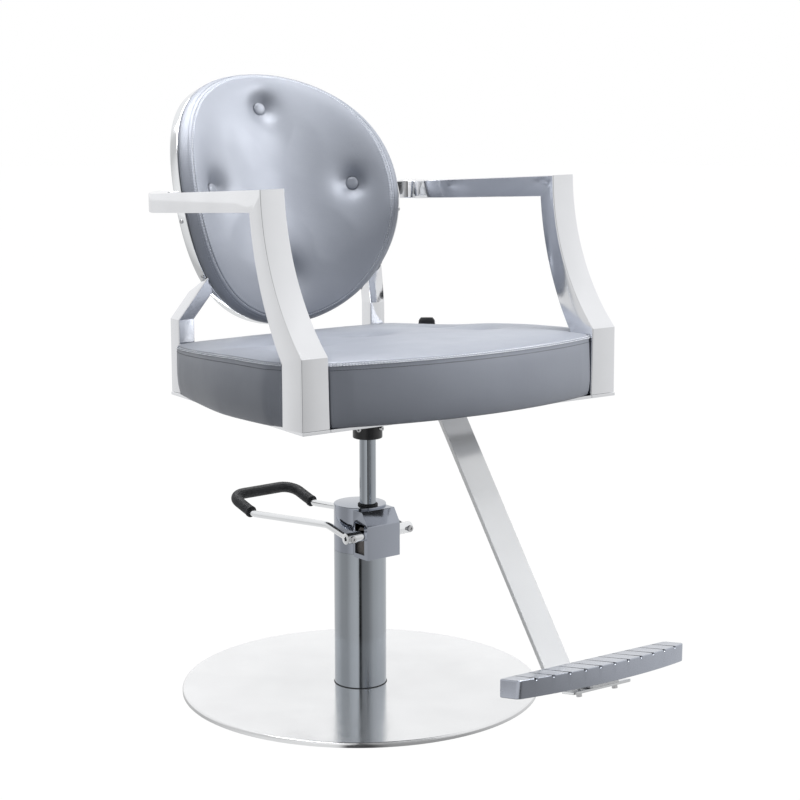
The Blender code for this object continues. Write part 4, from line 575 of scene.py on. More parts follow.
def helper(name, bm, place=Matrix.Identity(4)):
    """A solid that is only built with, and is used up or deleted later."""
    obj = bpy.data.objects.new(name, finished_mesh(name, bm, place))
    bpy.context.scene.collection.objects.link(obj)
    return obj


def combine(target, operation, *others):
    """Adds or takes away helper solids, which are then deleted."""
    for other in others:
        modifier = target.modifiers.new(other.name, "BOOLEAN")
        modifier.operation = operation
        modifier.solver = "EXACT"
        modifier.object = other
    mesh = baked(target)
    for other in others:
        bpy.data.objects.remove(other)
    obj = bpy.data.objects.new(mesh.name, mesh)
    bpy.context.scene.collection.objects.link(obj)
    return obj


def mesh_only(obj, sharp=24):
    """Takes the mesh of a finished helper and drops the helper."""
    mesh = obj.data
    bpy.data.objects.remove(obj)
    mesh.shade_smooth()
    mesh.set_sharp_from_angle(angle=math.radians(sharp))
    return mesh


def skin(bm, rows):
    """Fills between closed rows of vertices of equal number."""
    for first, second in zip(rows, rows[1:]):
        count = len(first)
        for i in range(count):
            j = (i + 1) % count
            bm.faces.new((first[i], first[j], second[j], second[i]))


def loft(rings):
    """Skins equal rings of points, with a cap on each end."""
    bm = bmesh.new()
    rows = [[bm.verts.new(point) for point in ring] for ring in rings]
    skin(bm, rows)
    bm.faces.new(rows[0])
    bm.faces.new(list(reversed(rows[-1])))
    return bm


def full_turn(steps):
    """The angles of evenly spaced points round a circle."""
    return [2 * math.pi * i / steps for i in range(steps)]


def arc_edge(radius, top, size, step, count):
    """The (radius, z) points of a rounded upper rim, from its top out to its side."""
    angles = [math.radians(step * k) for k in range(count)]
    return [(radius - size + size * math.sin(t), top - size + size * math.cos(t)) for t in angles]


def lathe(profile, steps=SMALL_STEPS):
    """Turns a closed outline of (radius, z) about Z."""
    bm = bmesh.new()
    columns = []
    for radius, z in profile:
        if radius < WELD:
            columns.append([bm.verts.new((0.0, 0.0, z))] * steps)
        else:
            circle = [(radius * math.cos(a), radius * math.sin(a), z) for a in full_turn(steps)]
            columns.append([bm.verts.new(point) for point in circle])
    for first, second in zip(columns, columns[1:] + columns[:1]):
        for i in range(steps):
            j = (i + 1) % steps
            corners = list(dict.fromkeys((first[i], first[j], second[j], second[i])))
            if len(corners) > 2:
                bm.faces.new(corners)
    return bm


def disc(radius, low, high, steps=SMALL_STEPS):
    """A plain cylinder on Z between two heights."""
    return lathe([(0.0, high), (radius, high), (radius, low), (0.0, low)], steps)


def prism(outline, low, high, axis="Z"):
    """Extrudes an outline along an axis. Along X the outline is (y, z), along Z it is (x, y)."""
    if axis == "X":
        return loft([[(x, y, z) for y, z in outline] for x in (low, high)])
    return loft([[(x, y, z) for x, y in outline] for z in (low, high)])


def fillet(before, corner, after, radius, steps):
    """The points of an arc that rounds one corner."""
    back = (before - corner).normalized()
    ahead = (after - corner).normalized()
    half = 0.5 * back.angle(ahead)
    shorter = min((before - corner).length, (after - corner).length)
    reach = min(radius / math.tan(half), 0.49 * shorter)
    middle = corner + (back + ahead).normalized() * (reach / math.cos(half))
    start = corner + back * reach - middle
    end = corner + ahead * reach - middle
    sweep = start.angle(end)
    points = []
    for i in range(steps + 1):
        share = i / steps
        first = math.sin((1 - share) * sweep) / math.sin(sweep)
        last = math.sin(share * sweep) / math.sin(sweep)
        points.append(middle + start * first + end * last)
    return points


def rounded(points, radii, steps=12):
    """A path of straight runs whose inner corners are arcs of the given radii."""
    path = [Vector(points[0])]
    for before, corner, after, radius in zip(points, points[1:], points[2:], radii):
        path += fillet(Vector(before), Vector(corner), Vector(after), radius, steps)
    path.append(Vector(points[-1]))
    return path


def rounded_loop(corners, radius, steps):
    """A closed outline whose corners are all arcs of one radius."""
    ring = []
    for i, corner in enumerate(corners):
        before = Vector(corners[i - 1])
        after = Vector(corners[(i + 1) % len(corners)])
        ring += fillet(before, Vector(corner), after, radius, steps)
    return ring


def arc_through(start, middle, end, steps):
    """Points of the circle through three points of a plane, evenly spaced from start to end."""
    (ax, ay), (bx, by), (cx, cy) = start, middle, end
    d = 2 * (ax * (by - cy) + bx * (cy - ay) + cx * (ay - by))
    aa, bb, cc = ax * ax + ay * ay, bx * bx + by * by, cx * cx + cy * cy
    ux = (aa * (by - cy) + bb * (cy - ay) + cc * (ay - by)) / d
    uy = (aa * (cx - bx) + bb * (ax - cx) + cc * (bx - ax)) / d
    radius = math.hypot(ax - ux, ay - uy)
    first = math.atan2(ay - uy, ax - ux)
    last = math.atan2(cy - uy, cx - ux)
    turn = (last - first + math.pi) % (2 * math.pi) - math.pi
    angles = [first + turn * i / steps for i in range(steps + 1)]
    return [(ux + radius * math.cos(a), uy + radius * math.sin(a)) for a in angles]


def catmull_rom(a, b, c, d, t):
    """The cubic from b to c whose slopes follow the neighbours a and d."""
    square = (2 * a - 5 * b + 4 * c - d) * t * t
    cube = (3 * b - a - 3 * c + d) * t**3
    return 0.5 * (2 * b + (c - a) * t + square + cube)


def smooth_through(points, steps):
    """A Catmull-Rom curve through points."""
    padded = [points[0], *points, points[-1]]
    curve = []
    for before, start, end, after in zip(padded, padded[1:], padded[2:], padded[3:]):
        for i in range(steps):
            parts = zip(before, start, end, after)
            curve.append(tuple(catmull_rom(a, b, c, d, i / steps) for a, b, c, d in parts))
    return [*curve, tuple(points[-1])]


def mix(first, last, share):
    return first + (last - first) * share


def tube_rings(path, radius, sides):
    """Rings about a path, carried along it without twist."""
    points = [Vector(p) for p in path]
    tangents = []
    for i in range(len(points)):
        ahead = points[min(i + 1, len(points) - 1)]
        behind = points[max(i - 1, 0)]
        tangents.append((ahead - behind).normalized())
    side = tangents[0].orthogonal().normalized()
    rings = []
    for point, tangent in zip(points, tangents):
        side = (side - tangent * side.dot(tangent)).normalized()
        over = tangent.cross(side)
        rings.append([point + radius * (math.cos(a) * side + math.sin(a) * over) for a in full_turn(sides)])
    return rings


def line_object(name, points, cyclic=False, place=Matrix.Identity(4), **vectors):
    """A helper of edges only, with one vector attribute for each keyword."""
    mesh = bpy.data.meshes.new(name)
    edges = [(i, i + 1) for i in range(len(points) - 1)]
    if cyclic:
        edges.append((len(points) - 1, 0))
    mesh.from_pydata([tuple(p) for p in points], edges, [])
    turn = place.to_3x3()
    for title, values in vectors.items():
        turned = [turn @ Vector(v) for v in values]
        attribute = mesh.attributes.new(title, "FLOAT_VECTOR", "POINT")
        attribute.data.foreach_set("vector", [c for v in turned for c in v])
    mesh.transform(place)
    obj = bpy.data.objects.new(name, mesh)
    bpy.context.scene.collection.objects.link(obj)
    return obj


# ---------------------------------------------------------------- geometry node trees


class Tree:
    """A Geometry Nodes tree with named inputs, ended by Realize Instances and Set Material."""

    def __init__(self, name, **inputs):
        self.group = bpy.data.node_groups.new(name, "GeometryNodeTree")
        face = self.group.interface
        face.new_socket("Geometry", in_out="INPUT", socket_type="NodeSocketGeometry")
        for title, kind in {**inputs, "Finish": "Material"}.items():
            face.new_socket(title, in_out="INPUT", socket_type="NodeSocket" + kind)
        face.new_socket("Geometry", in_out="OUTPUT", socket_type="NodeSocketGeometry")
        self.start = self.group.nodes.new("NodeGroupInput").outputs

    def node(self, kind, settings=None, **inputs):
        made = self.group.nodes.new(kind)
        for title, value in (settings or {}).items():
            setattr(made, title, value)
        for title, value in inputs.items():
            set_socket(self.group, made.inputs[title.replace("_", " ")], value)
        return made.outputs

    def math(self, operation, *values):
        return math_node(self.group, operation, *values)

    def attribute(self, title):
        """A vector attribute of the helper that the tree runs on."""
        kind = {"data_type": "FLOAT_VECTOR"}
        return self.node("GeometryNodeInputNamedAttribute", kind, Name=title)["Attribute"]

    def given(self, title):
        """The geometry of a helper object that is given as an input."""
        return self.node("GeometryNodeObjectInfo", Object=self.start[title])["Geometry"]

    def curve(self, mesh):
        return self.node("GeometryNodeMeshToCurve", Mesh=mesh)["Curve"]

    def end(self, geometry):
        real = self.node("GeometryNodeRealizeInstances", Geometry=geometry)
        smooth = self.node("GeometryNodeSetShadeSmooth", Geometry=real["Geometry"])["Geometry"]
        dressed = self.node("GeometryNodeSetMaterial", Geometry=smooth, Material=self.start["Finish"])
        last = self.group.nodes.new("NodeGroupOutput")
        self.group.links.new(dressed["Geometry"], last.inputs["Geometry"])

    def apply(self, carrier, finish, **values):
        """Runs the tree on a helper object and returns the mesh that it makes."""
        modifier = carrier.modifiers.new(self.group.name, "NODES")
        modifier.node_group = self.group
        sockets = [item for item in self.group.interface.items_tree if item.in_out == "INPUT"]
        places = {item.name: item.identifier for item in sockets}
        modifier[places["Finish"]] = finish.material
        for title, value in values.items():
            modifier[places[title]] = value
        return baked(carrier)


def swept_tree():
    """Sweeps an outline along a path, its X held to the path's outward attribute."""
    tree = Tree("swept_section", Outline="Object")
    path = tree.curve(tree.start["Geometry"])
    outward = tree.attribute("outward")
    held = tree.node("GeometryNodeSetCurveNormal", {"mode": "FREE"}, Curve=path, Normal=outward)["Curve"]
    outline = tree.curve(tree.given("Outline"))
    wall = tree.node("GeometryNodeCurveToMesh", Curve=held, Profile_Curve=outline, Fill_Caps=True)
    tree.end(wall["Mesh"])
    return tree


def ribbed_tree():
    """A round sleeve along a path whose radius ripples evenly."""
    tree = Tree("ribbed_sleeve", Radius="Float", Ripple="Float", Ripples="Int", Sides="Int")
    path = tree.curve(tree.start["Geometry"])
    points = tree.math("MULTIPLY", tree.start["Ripples"], POINTS_PER_RIPPLE)
    even = tree.node("GeometryNodeResampleCurve", Curve=path, Count=points)["Curve"]
    along = tree.node("GeometryNodeSplineParameter")["Factor"]
    phase = tree.math("MULTIPLY", tree.math("MULTIPLY", along, tree.start["Ripples"]), 2 * math.pi)
    wave = tree.math("MULTIPLY", tree.math("SINE", phase, 0.0), tree.start["Ripple"])
    radius = tree.math("ADD", tree.start["Radius"], wave)
    sides = tree.start["Sides"]
    circle = tree.node("GeometryNodeCurvePrimitiveCircle", Resolution=sides, Radius=1.0)["Curve"]
    wall = tree.node(
        "GeometryNodeCurveToMesh", Curve=even, Profile_Curve=circle, Scale=radius, Fill_Caps=True
    )
    tree.end(wall["Mesh"])
    return tree


def stitched_tree():
    """Lays one stitch after another along a seam line."""
    tree = Tree("stitch_row", Stitch="Object", Pitch="Float")
    seam = tree.curve(tree.start["Geometry"])
    pitch = tree.start["Pitch"]
    places = tree.node("GeometryNodeCurveToPoints", {"mode": "LENGTH"}, Curve=seam, Length=pitch)
    points, turn = places["Points"], places["Rotation"]
    stitch = tree.given("Stitch")
    row = tree.node("GeometryNodeInstanceOnPoints", Points=points, Instance=stitch, Rotation=turn)
    tree.end(row["Instances"])
    return tree


def fastener_tree():
    """Sets one head on each point, facing along the point's attribute."""
    tree = Tree("fastener_heads", Head="Object")
    facing = tree.attribute("facing")
    turn = tree.node("FunctionNodeAlignRotationToVector", {"axis": "Z"}, Vector=facing)["Rotation"]
    points, head = tree.start["Geometry"], tree.given("Head")
    heads = tree.node("GeometryNodeInstanceOnPoints", Points=points, Instance=head, Rotation=turn)
    tree.end(heads["Instances"])
    return tree


SWEPT = swept_tree()
RIBBED = ribbed_tree()
STITCHED = stitched_tree()
FASTENERS = fastener_tree()


def swept(path, outline, finish, sharp=24):
    """A mesh swept along a path helper. The outline is (out, across) in metres."""
    shape = line_object("outline", [(x, y, 0.0) for x, y in outline], cyclic=True)
    mesh = SWEPT.apply(path, finish, Outline=shape)
    bpy.data.objects.remove(shape)
    bm = bmesh.new()
    bm.from_mesh(mesh)
    return finished_mesh(mesh.name, bm, sharp=sharp)


# The smallest circle that a turned piece is swept round; at its middle the sweep closes on itself
LEAST_HUB_R = 0.0005


def turned(name, profile, finish, body, replaces, place=Matrix.Identity(4), steps=ROUND_STEPS, sharp=24):
    """A turned piece: its (radius, z) outline is swept round a circle about Z."""
    hub_r = max(min(radius for radius, z in profile), LEAST_HUB_R)
    ring = [(math.cos(a), math.sin(a), 0.0) for a in full_turn(steps)]
    path = line_object("turning_path", [(hub_r * x, hub_r * y, 0.0) for x, y, z in ring], True, outward=ring)
    outline = [(max(radius, hub_r) - hub_r, -z) for radius, z in profile]
    mesh = swept(path, outline, finish, sharp)
    mesh.transform(place)
    return add_piece(name, mesh, finish, body, replaces)


def stitches(name, seam_points, finish, body, radius=THREAD_R):
    """A row of sewn stitches round a closed seam, each a short rounded thread."""
    half = 0.5 * STITCH_L
    profile = [(0.0, half), (0.7 * radius, half - 0.3 * radius), (radius, half - radius)]
    profile += [(r, -z) for r, z in reversed(profile)]
    stitch = helper("stitch", lathe(profile, 6))
    row = line_object(name, seam_points, True)
    mesh = STITCHED.apply(row, finish, Stitch=stitch, Pitch=STITCH_PITCH)
    bpy.data.objects.remove(stitch)
    return add_piece(name, mesh, finish, body)


def fasteners(name, places, facings, head, finish, body, replaces=()):
    """Equal screw or bolt heads at places of the row frame, each facing its own way."""
    points = line_object(name, places, facing=facings)
    mesh = FASTENERS.apply(points, finish, Head=head)
    bpy.data.objects.remove(head)
    bm = bmesh.new()
    bm.from_mesh(mesh)
    return add_piece(name, finished_mesh(name, bm, sharp=30), finish, body, replaces)


def pan_head(radius, height):
    """A domed screw head with a cross recess, its seat at the origin."""
    turns = [math.radians(15 * k) for k in range(7)]
    dome = [(radius * math.sin(t), height * math.cos(t)) for t in turns]
    head = helper("pan_head", lathe([*dome, (radius, -GAP), (0.0, -GAP)], 32))
    arm = 0.62 * radius
    wide = 0.13 * radius
    bars = []
    for first, second in ((arm, wide), (wide, arm)):
        bar = [(-first, -second), (first, -second), (first, second), (-first, second)]
        bars.append(helper("recess", prism(bar, 0.45 * height, 2 * height)))
    return combine(head, "DIFFERENCE", *bars)


def socket_head(radius, height):
    """A round bolt head with a hexagon recess, its seat at the origin."""
    edge = 0.16 * radius
    profile = [(0.0, height), (radius - edge, height), (radius - 0.3 * edge, height - 0.3 * edge)]
    profile += [(radius, height - edge), (radius, -GAP), (0.0, -GAP)]
    head = helper("socket_head", lathe(profile, 40))
    recess = helper("recess", disc(0.45 * radius, 0.5 * height, 2 * height, 6))
    return combine(head, "DIFFERENCE", recess)


# ---------------------------------------------------------------- base and column


def make_base():
    """The rolled disc cover, the column on it and the seal round the column's foot."""
    edge = arc_edge(DISC_R, DISC_H, DISC_EDGE_R, 7.5, 13)
    profile = [(TUBE_R + GAP, DISC_H), *edge, (DISC_R, PAD_H), (DISC_R - COVER_WALL, PAD_H)]
    profile += [(DISC_R - COVER_WALL, DISC_H - DISC_EDGE_R), (DISC_R - DISC_EDGE_R, COVER_ROOF_Z)]
    profile += [(TUBE_R + GAP, COVER_ROOF_Z)]
    turned("base_disc", profile, DISC, "base", ["base_cover"], steps=256, sharp=14)

    low, high = COVER_ROOF_Z, JOINT_Z - GAP
    tube = [(TUBE_R, high), (TUBE_R, low), (TUBE_R - TUBE_WALL, low), (TUBE_R - TUBE_WALL, high)]
    turned("column_tube", tube, COLUMN, "base", ["pump_tube"])

    inner, foot = TUBE_R + RUNNING_FIT, DISC_H + GAP
    seal = [(inner, DISC_H + FOOT_SEAL_W), (TUBE_R + FOOT_SEAL_W, foot), (inner, foot)]
    turned("column_foot_seal", seal, RUBBER, "base", [])


def make_piston():
    """The lift rod, and the wiper on the pump's top that it slides through."""
    rod = [(0.0, ROD_TOP_Z), (ROD_R - 0.5 * ROD_CHAMFER, ROD_TOP_Z), (ROD_R, ROD_TOP_Z - ROD_CHAMFER)]
    rod += [(ROD_R, ROD_LOW_Z), (0.0, ROD_LOW_Z)]
    turned("lift_rod", rod, COLUMN, "piston", ["piston_rod"], SEAT, 96)
    inner = ROD_R + GAP
    top = HEAD_TOP_Z + GAP + WIPER_H
    low = top - WIPER_SLOPE
    lip = [(inner, low), (inner + WIPER_LIP[0], top), (inner + WIPER_LIP[1], top - GAP)]
    lip += [(inner + WIPER_W, low), (inner + WIPER_W, HEAD_TOP_Z + GAP), (inner, HEAD_TOP_Z + GAP)]
    turned("wiper_seal", lip, RUBBER, "base", ["rod_wiper"], SEAT, 96)


# ---------------------------------------------------------------- pump cover


def housing_outline(inset):
    """The pump housing's side outline as (y, z): a flat front with a sloping shoulder."""
    lean = math.atan2(HOUSING_SHOULDER_Z - HOUSING_FACE_TOP_Z, HOUSING_FRONT - HOUSING_SHOULDER)
    face_top = HOUSING_FACE_TOP_Z - inset * math.tan(0.5 * (math.pi / 2 - lean))
    front = HOUSING_FRONT - inset
    top = HOUSING_SHOULDER_Z - inset
    shoulder = front - (top - face_top) / math.tan(lean)
    bottom = HOUSING_BOTTOM_Z if inset == 0.0 else HOUSING_BOTTOM_Z - HEAD_LID
    return [(0.0, bottom), (-front, bottom), (-front, face_top), (-shoulder, top), (0.0, top)]


def make_pump_cover():
    """The chromed sleeve and its flat-fronted housing, with slots for the cross shaft."""
    rim = arc_edge(TUBE_R, HEAD_TOP_Z, HEAD_EDGE, 18, 6)
    sleeve = helper("sleeve", lathe([(0.0, HEAD_TOP_Z), *rim, (TUBE_R, JOINT_Z), (0.0, JOINT_Z)], 128))
    block = helper("block", prism(housing_outline(0.0), -HOUSING_HALF_W, HOUSING_HALF_W, "X"))
    soften(block, 0.0009, 3)
    tube_room = disc(TUBE_R + GAP, JOINT_Z - 2 * CUT_PAST, JOINT_Z, 128)
    block = combine(block, "DIFFERENCE", helper("tube_room", tube_room))
    cover = combine(sleeve, "UNION", block)

    lid_low = HEAD_TOP_Z - HEAD_LID
    room_x = HOUSING_HALF_W - HEAD_WALL
    slot = [(-SLOT_FRONT, SLOT_BOTTOM_Z), (-SLOT_BACK, SLOT_BOTTOM_Z)]
    slot += [(y, SLOT_TOP_Z) for y, z in reversed(slot)]
    past = HOUSING_HALF_W + CUT_PAST
    rod_hole = disc(ROD_R + RUNNING_FIT, lid_low - CUT_PAST, HEAD_TOP_Z + CUT_PAST, 96)
    rooms = [
        helper("bore", disc(TUBE_R - HEAD_WALL, JOINT_Z - CUT_PAST, lid_low, 128)),
        helper("room", prism(housing_outline(HEAD_WALL), -room_x, room_x, "X")),
        helper("slot_left", prism(slot, 0.5 * LUG_OUTER, past, "X")),
        helper("slot_right", prism(slot, -past, -0.5 * LUG_OUTER, "X")),
        helper("rod_hole", rod_hole, Matrix.Translation((0.0, -PISTON_OFFSET, 0.0))),
    ]
    cover = combine(cover, "DIFFERENCE", *rooms)
    mesh = mesh_only(cover, 20)
    mesh.transform(PUMP)
    add_piece("pump_cover", mesh, HOUSING, "base", ["head_cover"])


# ---------------------------------------------------------------- foot lever


def lever_path():
    """The pedal bar's centre line from one shaft end round to the other, about the shaft's axis."""
    half = [(BAR_SHAFT_X, -SHAFT_FORWARD + BAR_SEAT, SHAFT_Z), BAR_KNEE, BAR_DIP, BAR_CROSS]
    corners = half + [(-x, y, z) for x, y, z in reversed(half)]
    radii = [BAR_KNEE_R, BAR_DIP_R, BAR_CORNER_R, BAR_CORNER_R, BAR_DIP_R, BAR_KNEE_R]
    origin = Vector((0.0, -SHAFT_FORWARD, SHAFT_Z))
    return [point - origin for point in rounded(corners, radii, 14)]


def make_cross_shaft():
    """The shaft through the pump, its ends rounded and drilled."""
    rim = 0.3 * SHAFT_EDGE
    rod = [(SHAFT_R - SHAFT_EDGE, SHAFT_HALF_L), (SHAFT_R - rim, SHAFT_HALF_L - rim)]
    rod += [(SHAFT_R, SHAFT_HALF_L - SHAFT_EDGE)]
    hole = [(0.0, SHAFT_HALF_L - SHAFT_HOLE_L), (SHAFT_HOLE_R, SHAFT_HALF_L - SHAFT_HOLE_L)]
    hole += [(SHAFT_HOLE_R, SHAFT_HALF_L - SHAFT_HOLE_EDGE), (SHAFT_HOLE_R + SHAFT_HOLE_EDGE, SHAFT_HALF_L)]
    profile = hole + rod
    profile += [(r, -z) for r, z in reversed(profile)]
    lay_down = Matrix.Rotation(math.pi / 2, 4, "Y")
    turned("lever_shaft", profile, MIRROR, "foot_lever", ["cross_shaft"], LEVER @ lay_down, 64)


def make_foot_lever():
    """The bent pedal bar, its ribbed sleeve with a cuff on each end, and the screws that clamp it."""
    path = lever_path()
    bar = loft(tube_rings(path, BAR_R, 28))
    add_piece("pedal_bar", finished_mesh("pedal_bar", bar, LEVER, 60), MIRROR, "foot_lever", ["lever_bar"])

    grip_from = GRIP_START + SHAFT_FORWARD
    inside = [p for p in path if p.y > grip_from]
    first = max(i for i, p in enumerate(path[: len(path) // 2]) if p.y <= grip_from)
    share = (grip_from - path[first].y) / (path[first + 1].y - path[first].y)
    start = path[first].lerp(path[first + 1], share)
    sleeve = [start, *inside, Vector((-start.x, start.y, start.z))]
    carrier = line_object("pedal_grip", sleeve, place=LEVER)
    mesh = RIBBED.apply(carrier, RUBBER, Radius=GRIP_R, Ripple=GRIP_RIPPLE, Ripples=GRIP_RIPPLES, Sides=28)
    mesh.set_sharp_from_angle(angle=math.radians(60))
    add_piece("pedal_grip", mesh, RUBBER, "foot_lever", ["lever_grip"])
    cuff_r = GRIP_R + CUFF_RISE
    inner = BAR_R + GAP
    cuff = [(inner, 0.0), (cuff_r - CUFF_EDGE, 0.0), (cuff_r, CUFF_EDGE), (cuff_r, CUFF_L - CUFF_RIM)]
    cuff += [(GRIP_R, CUFF_L), (inner, CUFF_L)]
    for end, ahead, name in ((sleeve[0], sleeve[1], "left"), (sleeve[-1], sleeve[-2], "right")):
        turn = (ahead - end).normalized().to_track_quat("Z", "Y").to_matrix().to_4x4()
        place = LEVER @ Matrix.Translation(end) @ turn
        turned("grip_cuff_" + name, cuff, RUBBER, "foot_lever", [], place, 40, 60)

    seat_y = -SHAFT_R - RUNNING_FIT
    places = [LEVER @ Vector((x, seat_y, 0.0)) for x in (BAR_SHAFT_X, -BAR_SHAFT_X)]
    forward = PUMP.to_3x3() @ Vector((0.0, -1.0, 0.0))
    head = socket_head(CLAMP_HEAD_R, CLAMP_HEAD_H)
    nodes = ["clamp_bolt_left", "clamp_bolt_right"]
    fasteners("clamp_screws", places, [forward, forward], head, ZINC, "foot_lever", nodes)


# ---------------------------------------------------------------- seat frame


def frame_plane_z(y):
    """Height of the sloping underside of the seat's frame."""
    return FRAME_Z - math.tan(FRAME_DROP) * (y - FRAME_FRONT_Y)


def frame_top_z(y):
    return frame_plane_z(y) + FRAME_T / math.cos(FRAME_DROP)


def frame_half(y):
    """Half the width of the frame, at a distance along it from its front."""
    return mix(FRAME_HALF_FRONT, FRAME_HALF_REAR, y / FRAME_L)


def rail_between(y0, y1):
    """A bar across the frame, between the side rails."""
    inner = SIDE_RAIL_W + GAP
    return [
        (-frame_half(y0) + inner, y0),
        (frame_half(y0) - inner, y0),
        (frame_half(y1) - inner, y1),
        (-frame_half(y1) + inner, y1),
    ]


def make_seat_frame():
    """The four flat rails that the seat, the arms and the legs stand on."""
    outlines = {
        "front_rail": rail_between(0.0, FRONT_RAIL_W),
        "rear_rail": rail_between(FRAME_L - REAR_RAIL_W, FRAME_L),
    }
    for side, name in ((-1, "side_rail_right"), (1, "side_rail_left")):
        outlines[name] = [
            (side * FRAME_HALF_FRONT, 0.0),
            (side * FRAME_HALF_REAR, FRAME_L),
            (side * (FRAME_HALF_REAR - SIDE_RAIL_W), FRAME_L),
            (side * (FRAME_HALF_FRONT - SIDE_RAIL_W), 0.0),
        ]
    for node, outline in outlines.items():
        mesh = finished_mesh(node, prism(outline, 0.0, FRAME_T), PLANE)
        soften(add_piece("chromed_" + node, mesh, POLISHED, "seat", [node]), 0.0007)


def make_swivel_collar():
    """The black collar under the seat, with the two screws that clamp it to the rod."""
    bore = ROD_R + RUNNING_FIT
    top_z = frame_plane_z(0.0) - SWIVEL_PLATE_H - SOCKET_TOP_GAP
    rim = 0.3 * SOCKET_EDGE
    socket = [(bore, SOCKET_Z), (SOCKET_R - SOCKET_EDGE, SOCKET_Z), (SOCKET_R - rim, SOCKET_Z + rim)]
    socket += [(SOCKET_R, SOCKET_Z + SOCKET_EDGE), (SOCKET_R, top_z), (bore, top_z)]
    turned("swivel_collar", socket, BLACK_PLASTIC, "seat", ["swivel_socket"], SEAT, 96)

    angles = [math.radians(turn) for turn in COLLAR_SCREW_TURNS]
    screw_z = 0.5 * (SOCKET_Z + top_z) - COLLAR_SCREW_DROP
    places = [SEAT @ Vector((SOCKET_R * math.cos(a), SOCKET_R * math.sin(a), screw_z)) for a in angles]
    facings = [Vector((math.cos(a), math.sin(a), 0.0)) for a in angles]
    head = socket_head(COLLAR_SCREW_R, COLLAR_SCREW_H)
    fasteners("collar_screws", places, facings, head, ZINC, "seat")


# ---------------------------------------------------------------- arm frames and legs


def corner_section(side, xs, top, low):
    """Four corners of an arm section: outer and inner X, and (y, z) of its two edges."""
    return [(side * xs[0], *top), (side * xs[1], *top), (side * xs[1], *low), (side * xs[0], *low)]


def arm_sections(side):
    """Four-cornered sections from the post's foot up, over the arm rest and round to the ring."""
    front = arc_through(POST_FRONT_KINK, POST_FRONT_MID, POST_FRONT_TOP, 28)
    rear = arc_through(POST_REAR_KINK, POST_REAR_MID, POST_REAR_TOP, 28)
    foot_front = (POST_FRONT_FOOT_Y, frame_top_z(POST_FRONT_FOOT_Y) + GAP)
    foot_rear = (POST_REAR_FOOT_Y, frame_top_z(POST_REAR_FOOT_Y) + GAP)
    sections = []
    for low, high in zip([foot_front, *front], [foot_rear, *rear]):
        rise = (low[1] - foot_front[1]) / (POST_FRONT_TOP[1] - foot_front[1])
        inner = mix(POST_FOOT_INNER_X, POST_TOP_INNER_X, rise)
        sections.append(corner_section(side, (POST_OUTER_X, inner), low, high))
    for k in range(1, 7):
        share = k / 6
        top = (mix(POST_FRONT_TOP[0], ARM_END_Y, share), mix(POST_FRONT_TOP[1], ARM_END_TOP_Z, share))
        low = (mix(POST_REAR_TOP[0], ARM_END_Y, share), mix(POST_REAR_TOP[1], ARM_END_BOTTOM_Z, share))
        xs = (mix(POST_OUTER_X, ARM_END_OUTER_X, share), mix(POST_TOP_INNER_X, ARM_END_INNER_X, share))
        sections.append(corner_section(side, xs, top, low))
    return sections + return_sections(side)


def return_sections(side):
    """Sections of the bend behind the arm rest, which brings the arm round to the back's ring."""
    centre_x = ARM_END_INNER_X - RETURN_BEND_R
    outer_end = RETURN_BEND_R + RETURN_DEPTH
    bend_steps = 18
    sections = []
    for i in range(1, bend_steps + 1):
        turn = 0.5 * math.pi * i / bend_steps
        across, along = math.cos(turn), math.sin(turn)
        outer = mix(ARM_END_OUTER_X - centre_x, outer_end, i / bend_steps)
        out_point = (centre_x + outer * across, ARM_END_Y + outer * along)
        in_point = (centre_x + RETURN_BEND_R * across, ARM_END_Y + RETURN_BEND_R * along)
        sections.append(upright_section(side, out_point, in_point))
    end = (RETURN_END_X, ARM_END_Y + outer_end)
    sections.append(upright_section(side, end, (RETURN_END_X, ARM_END_Y + RETURN_BEND_R)))
    return sections


def upright_section(side, outer, inner):
    """Four corners of a section that stands upright between two (x, y) points."""
    return [
        (side * outer[0], outer[1], ARM_END_TOP_Z),
        (side * inner[0], inner[1], ARM_END_TOP_Z),
        (side * inner[0], inner[1], ARM_END_BOTTOM_Z),
        (side * outer[0], outer[1], ARM_END_BOTTOM_Z),
    ]


def leg_section(x, y, z_of):
    """A leg's square section about (x, y), cut where z_of says."""
    half = 0.5 * LEG_W
    shifts = ((half, -half), (-half, -half), (-half, half), (half, half))
    corners = [(x + dx, y + dy, z_of(y + dy)) for dx, dy in shifts]
    return rounded_loop(corners, LEG_EDGE, 5)


def add_limb(name, sections, node, sharp):
    """A limb of the frame, cut clear of the back that it ends on."""
    limb = combine(helper(name, loft(sections)), "DIFFERENCE", helper("ring_room", back_room()))
    mesh = mesh_only(limb, sharp)
    mesh.transform(SEAT)
    add_piece(name, mesh, POLISHED, "seat", [node])


def back_room():
    """What the back takes up, cut away from the arms and legs that end on its ring."""
    cushion_r = BACK_SEAM_R + BACK_CUSHION_FLARE + SOFT_GAP
    ring_r = RING_R + 2 * GAP
    profile = [
        (0.0, -BACK_ROOM_FRONT),
        (cushion_r, -BACK_ROOM_FRONT),
        (cushion_r, BACK_CUSHION_T + GAP),
        (ring_r, BACK_CUSHION_T + 2 * GAP),
        (ring_r, BACK_ROOM_REAR),
        (0.0, BACK_ROOM_REAR),
    ]
    return bent_lathe(profile, 144)


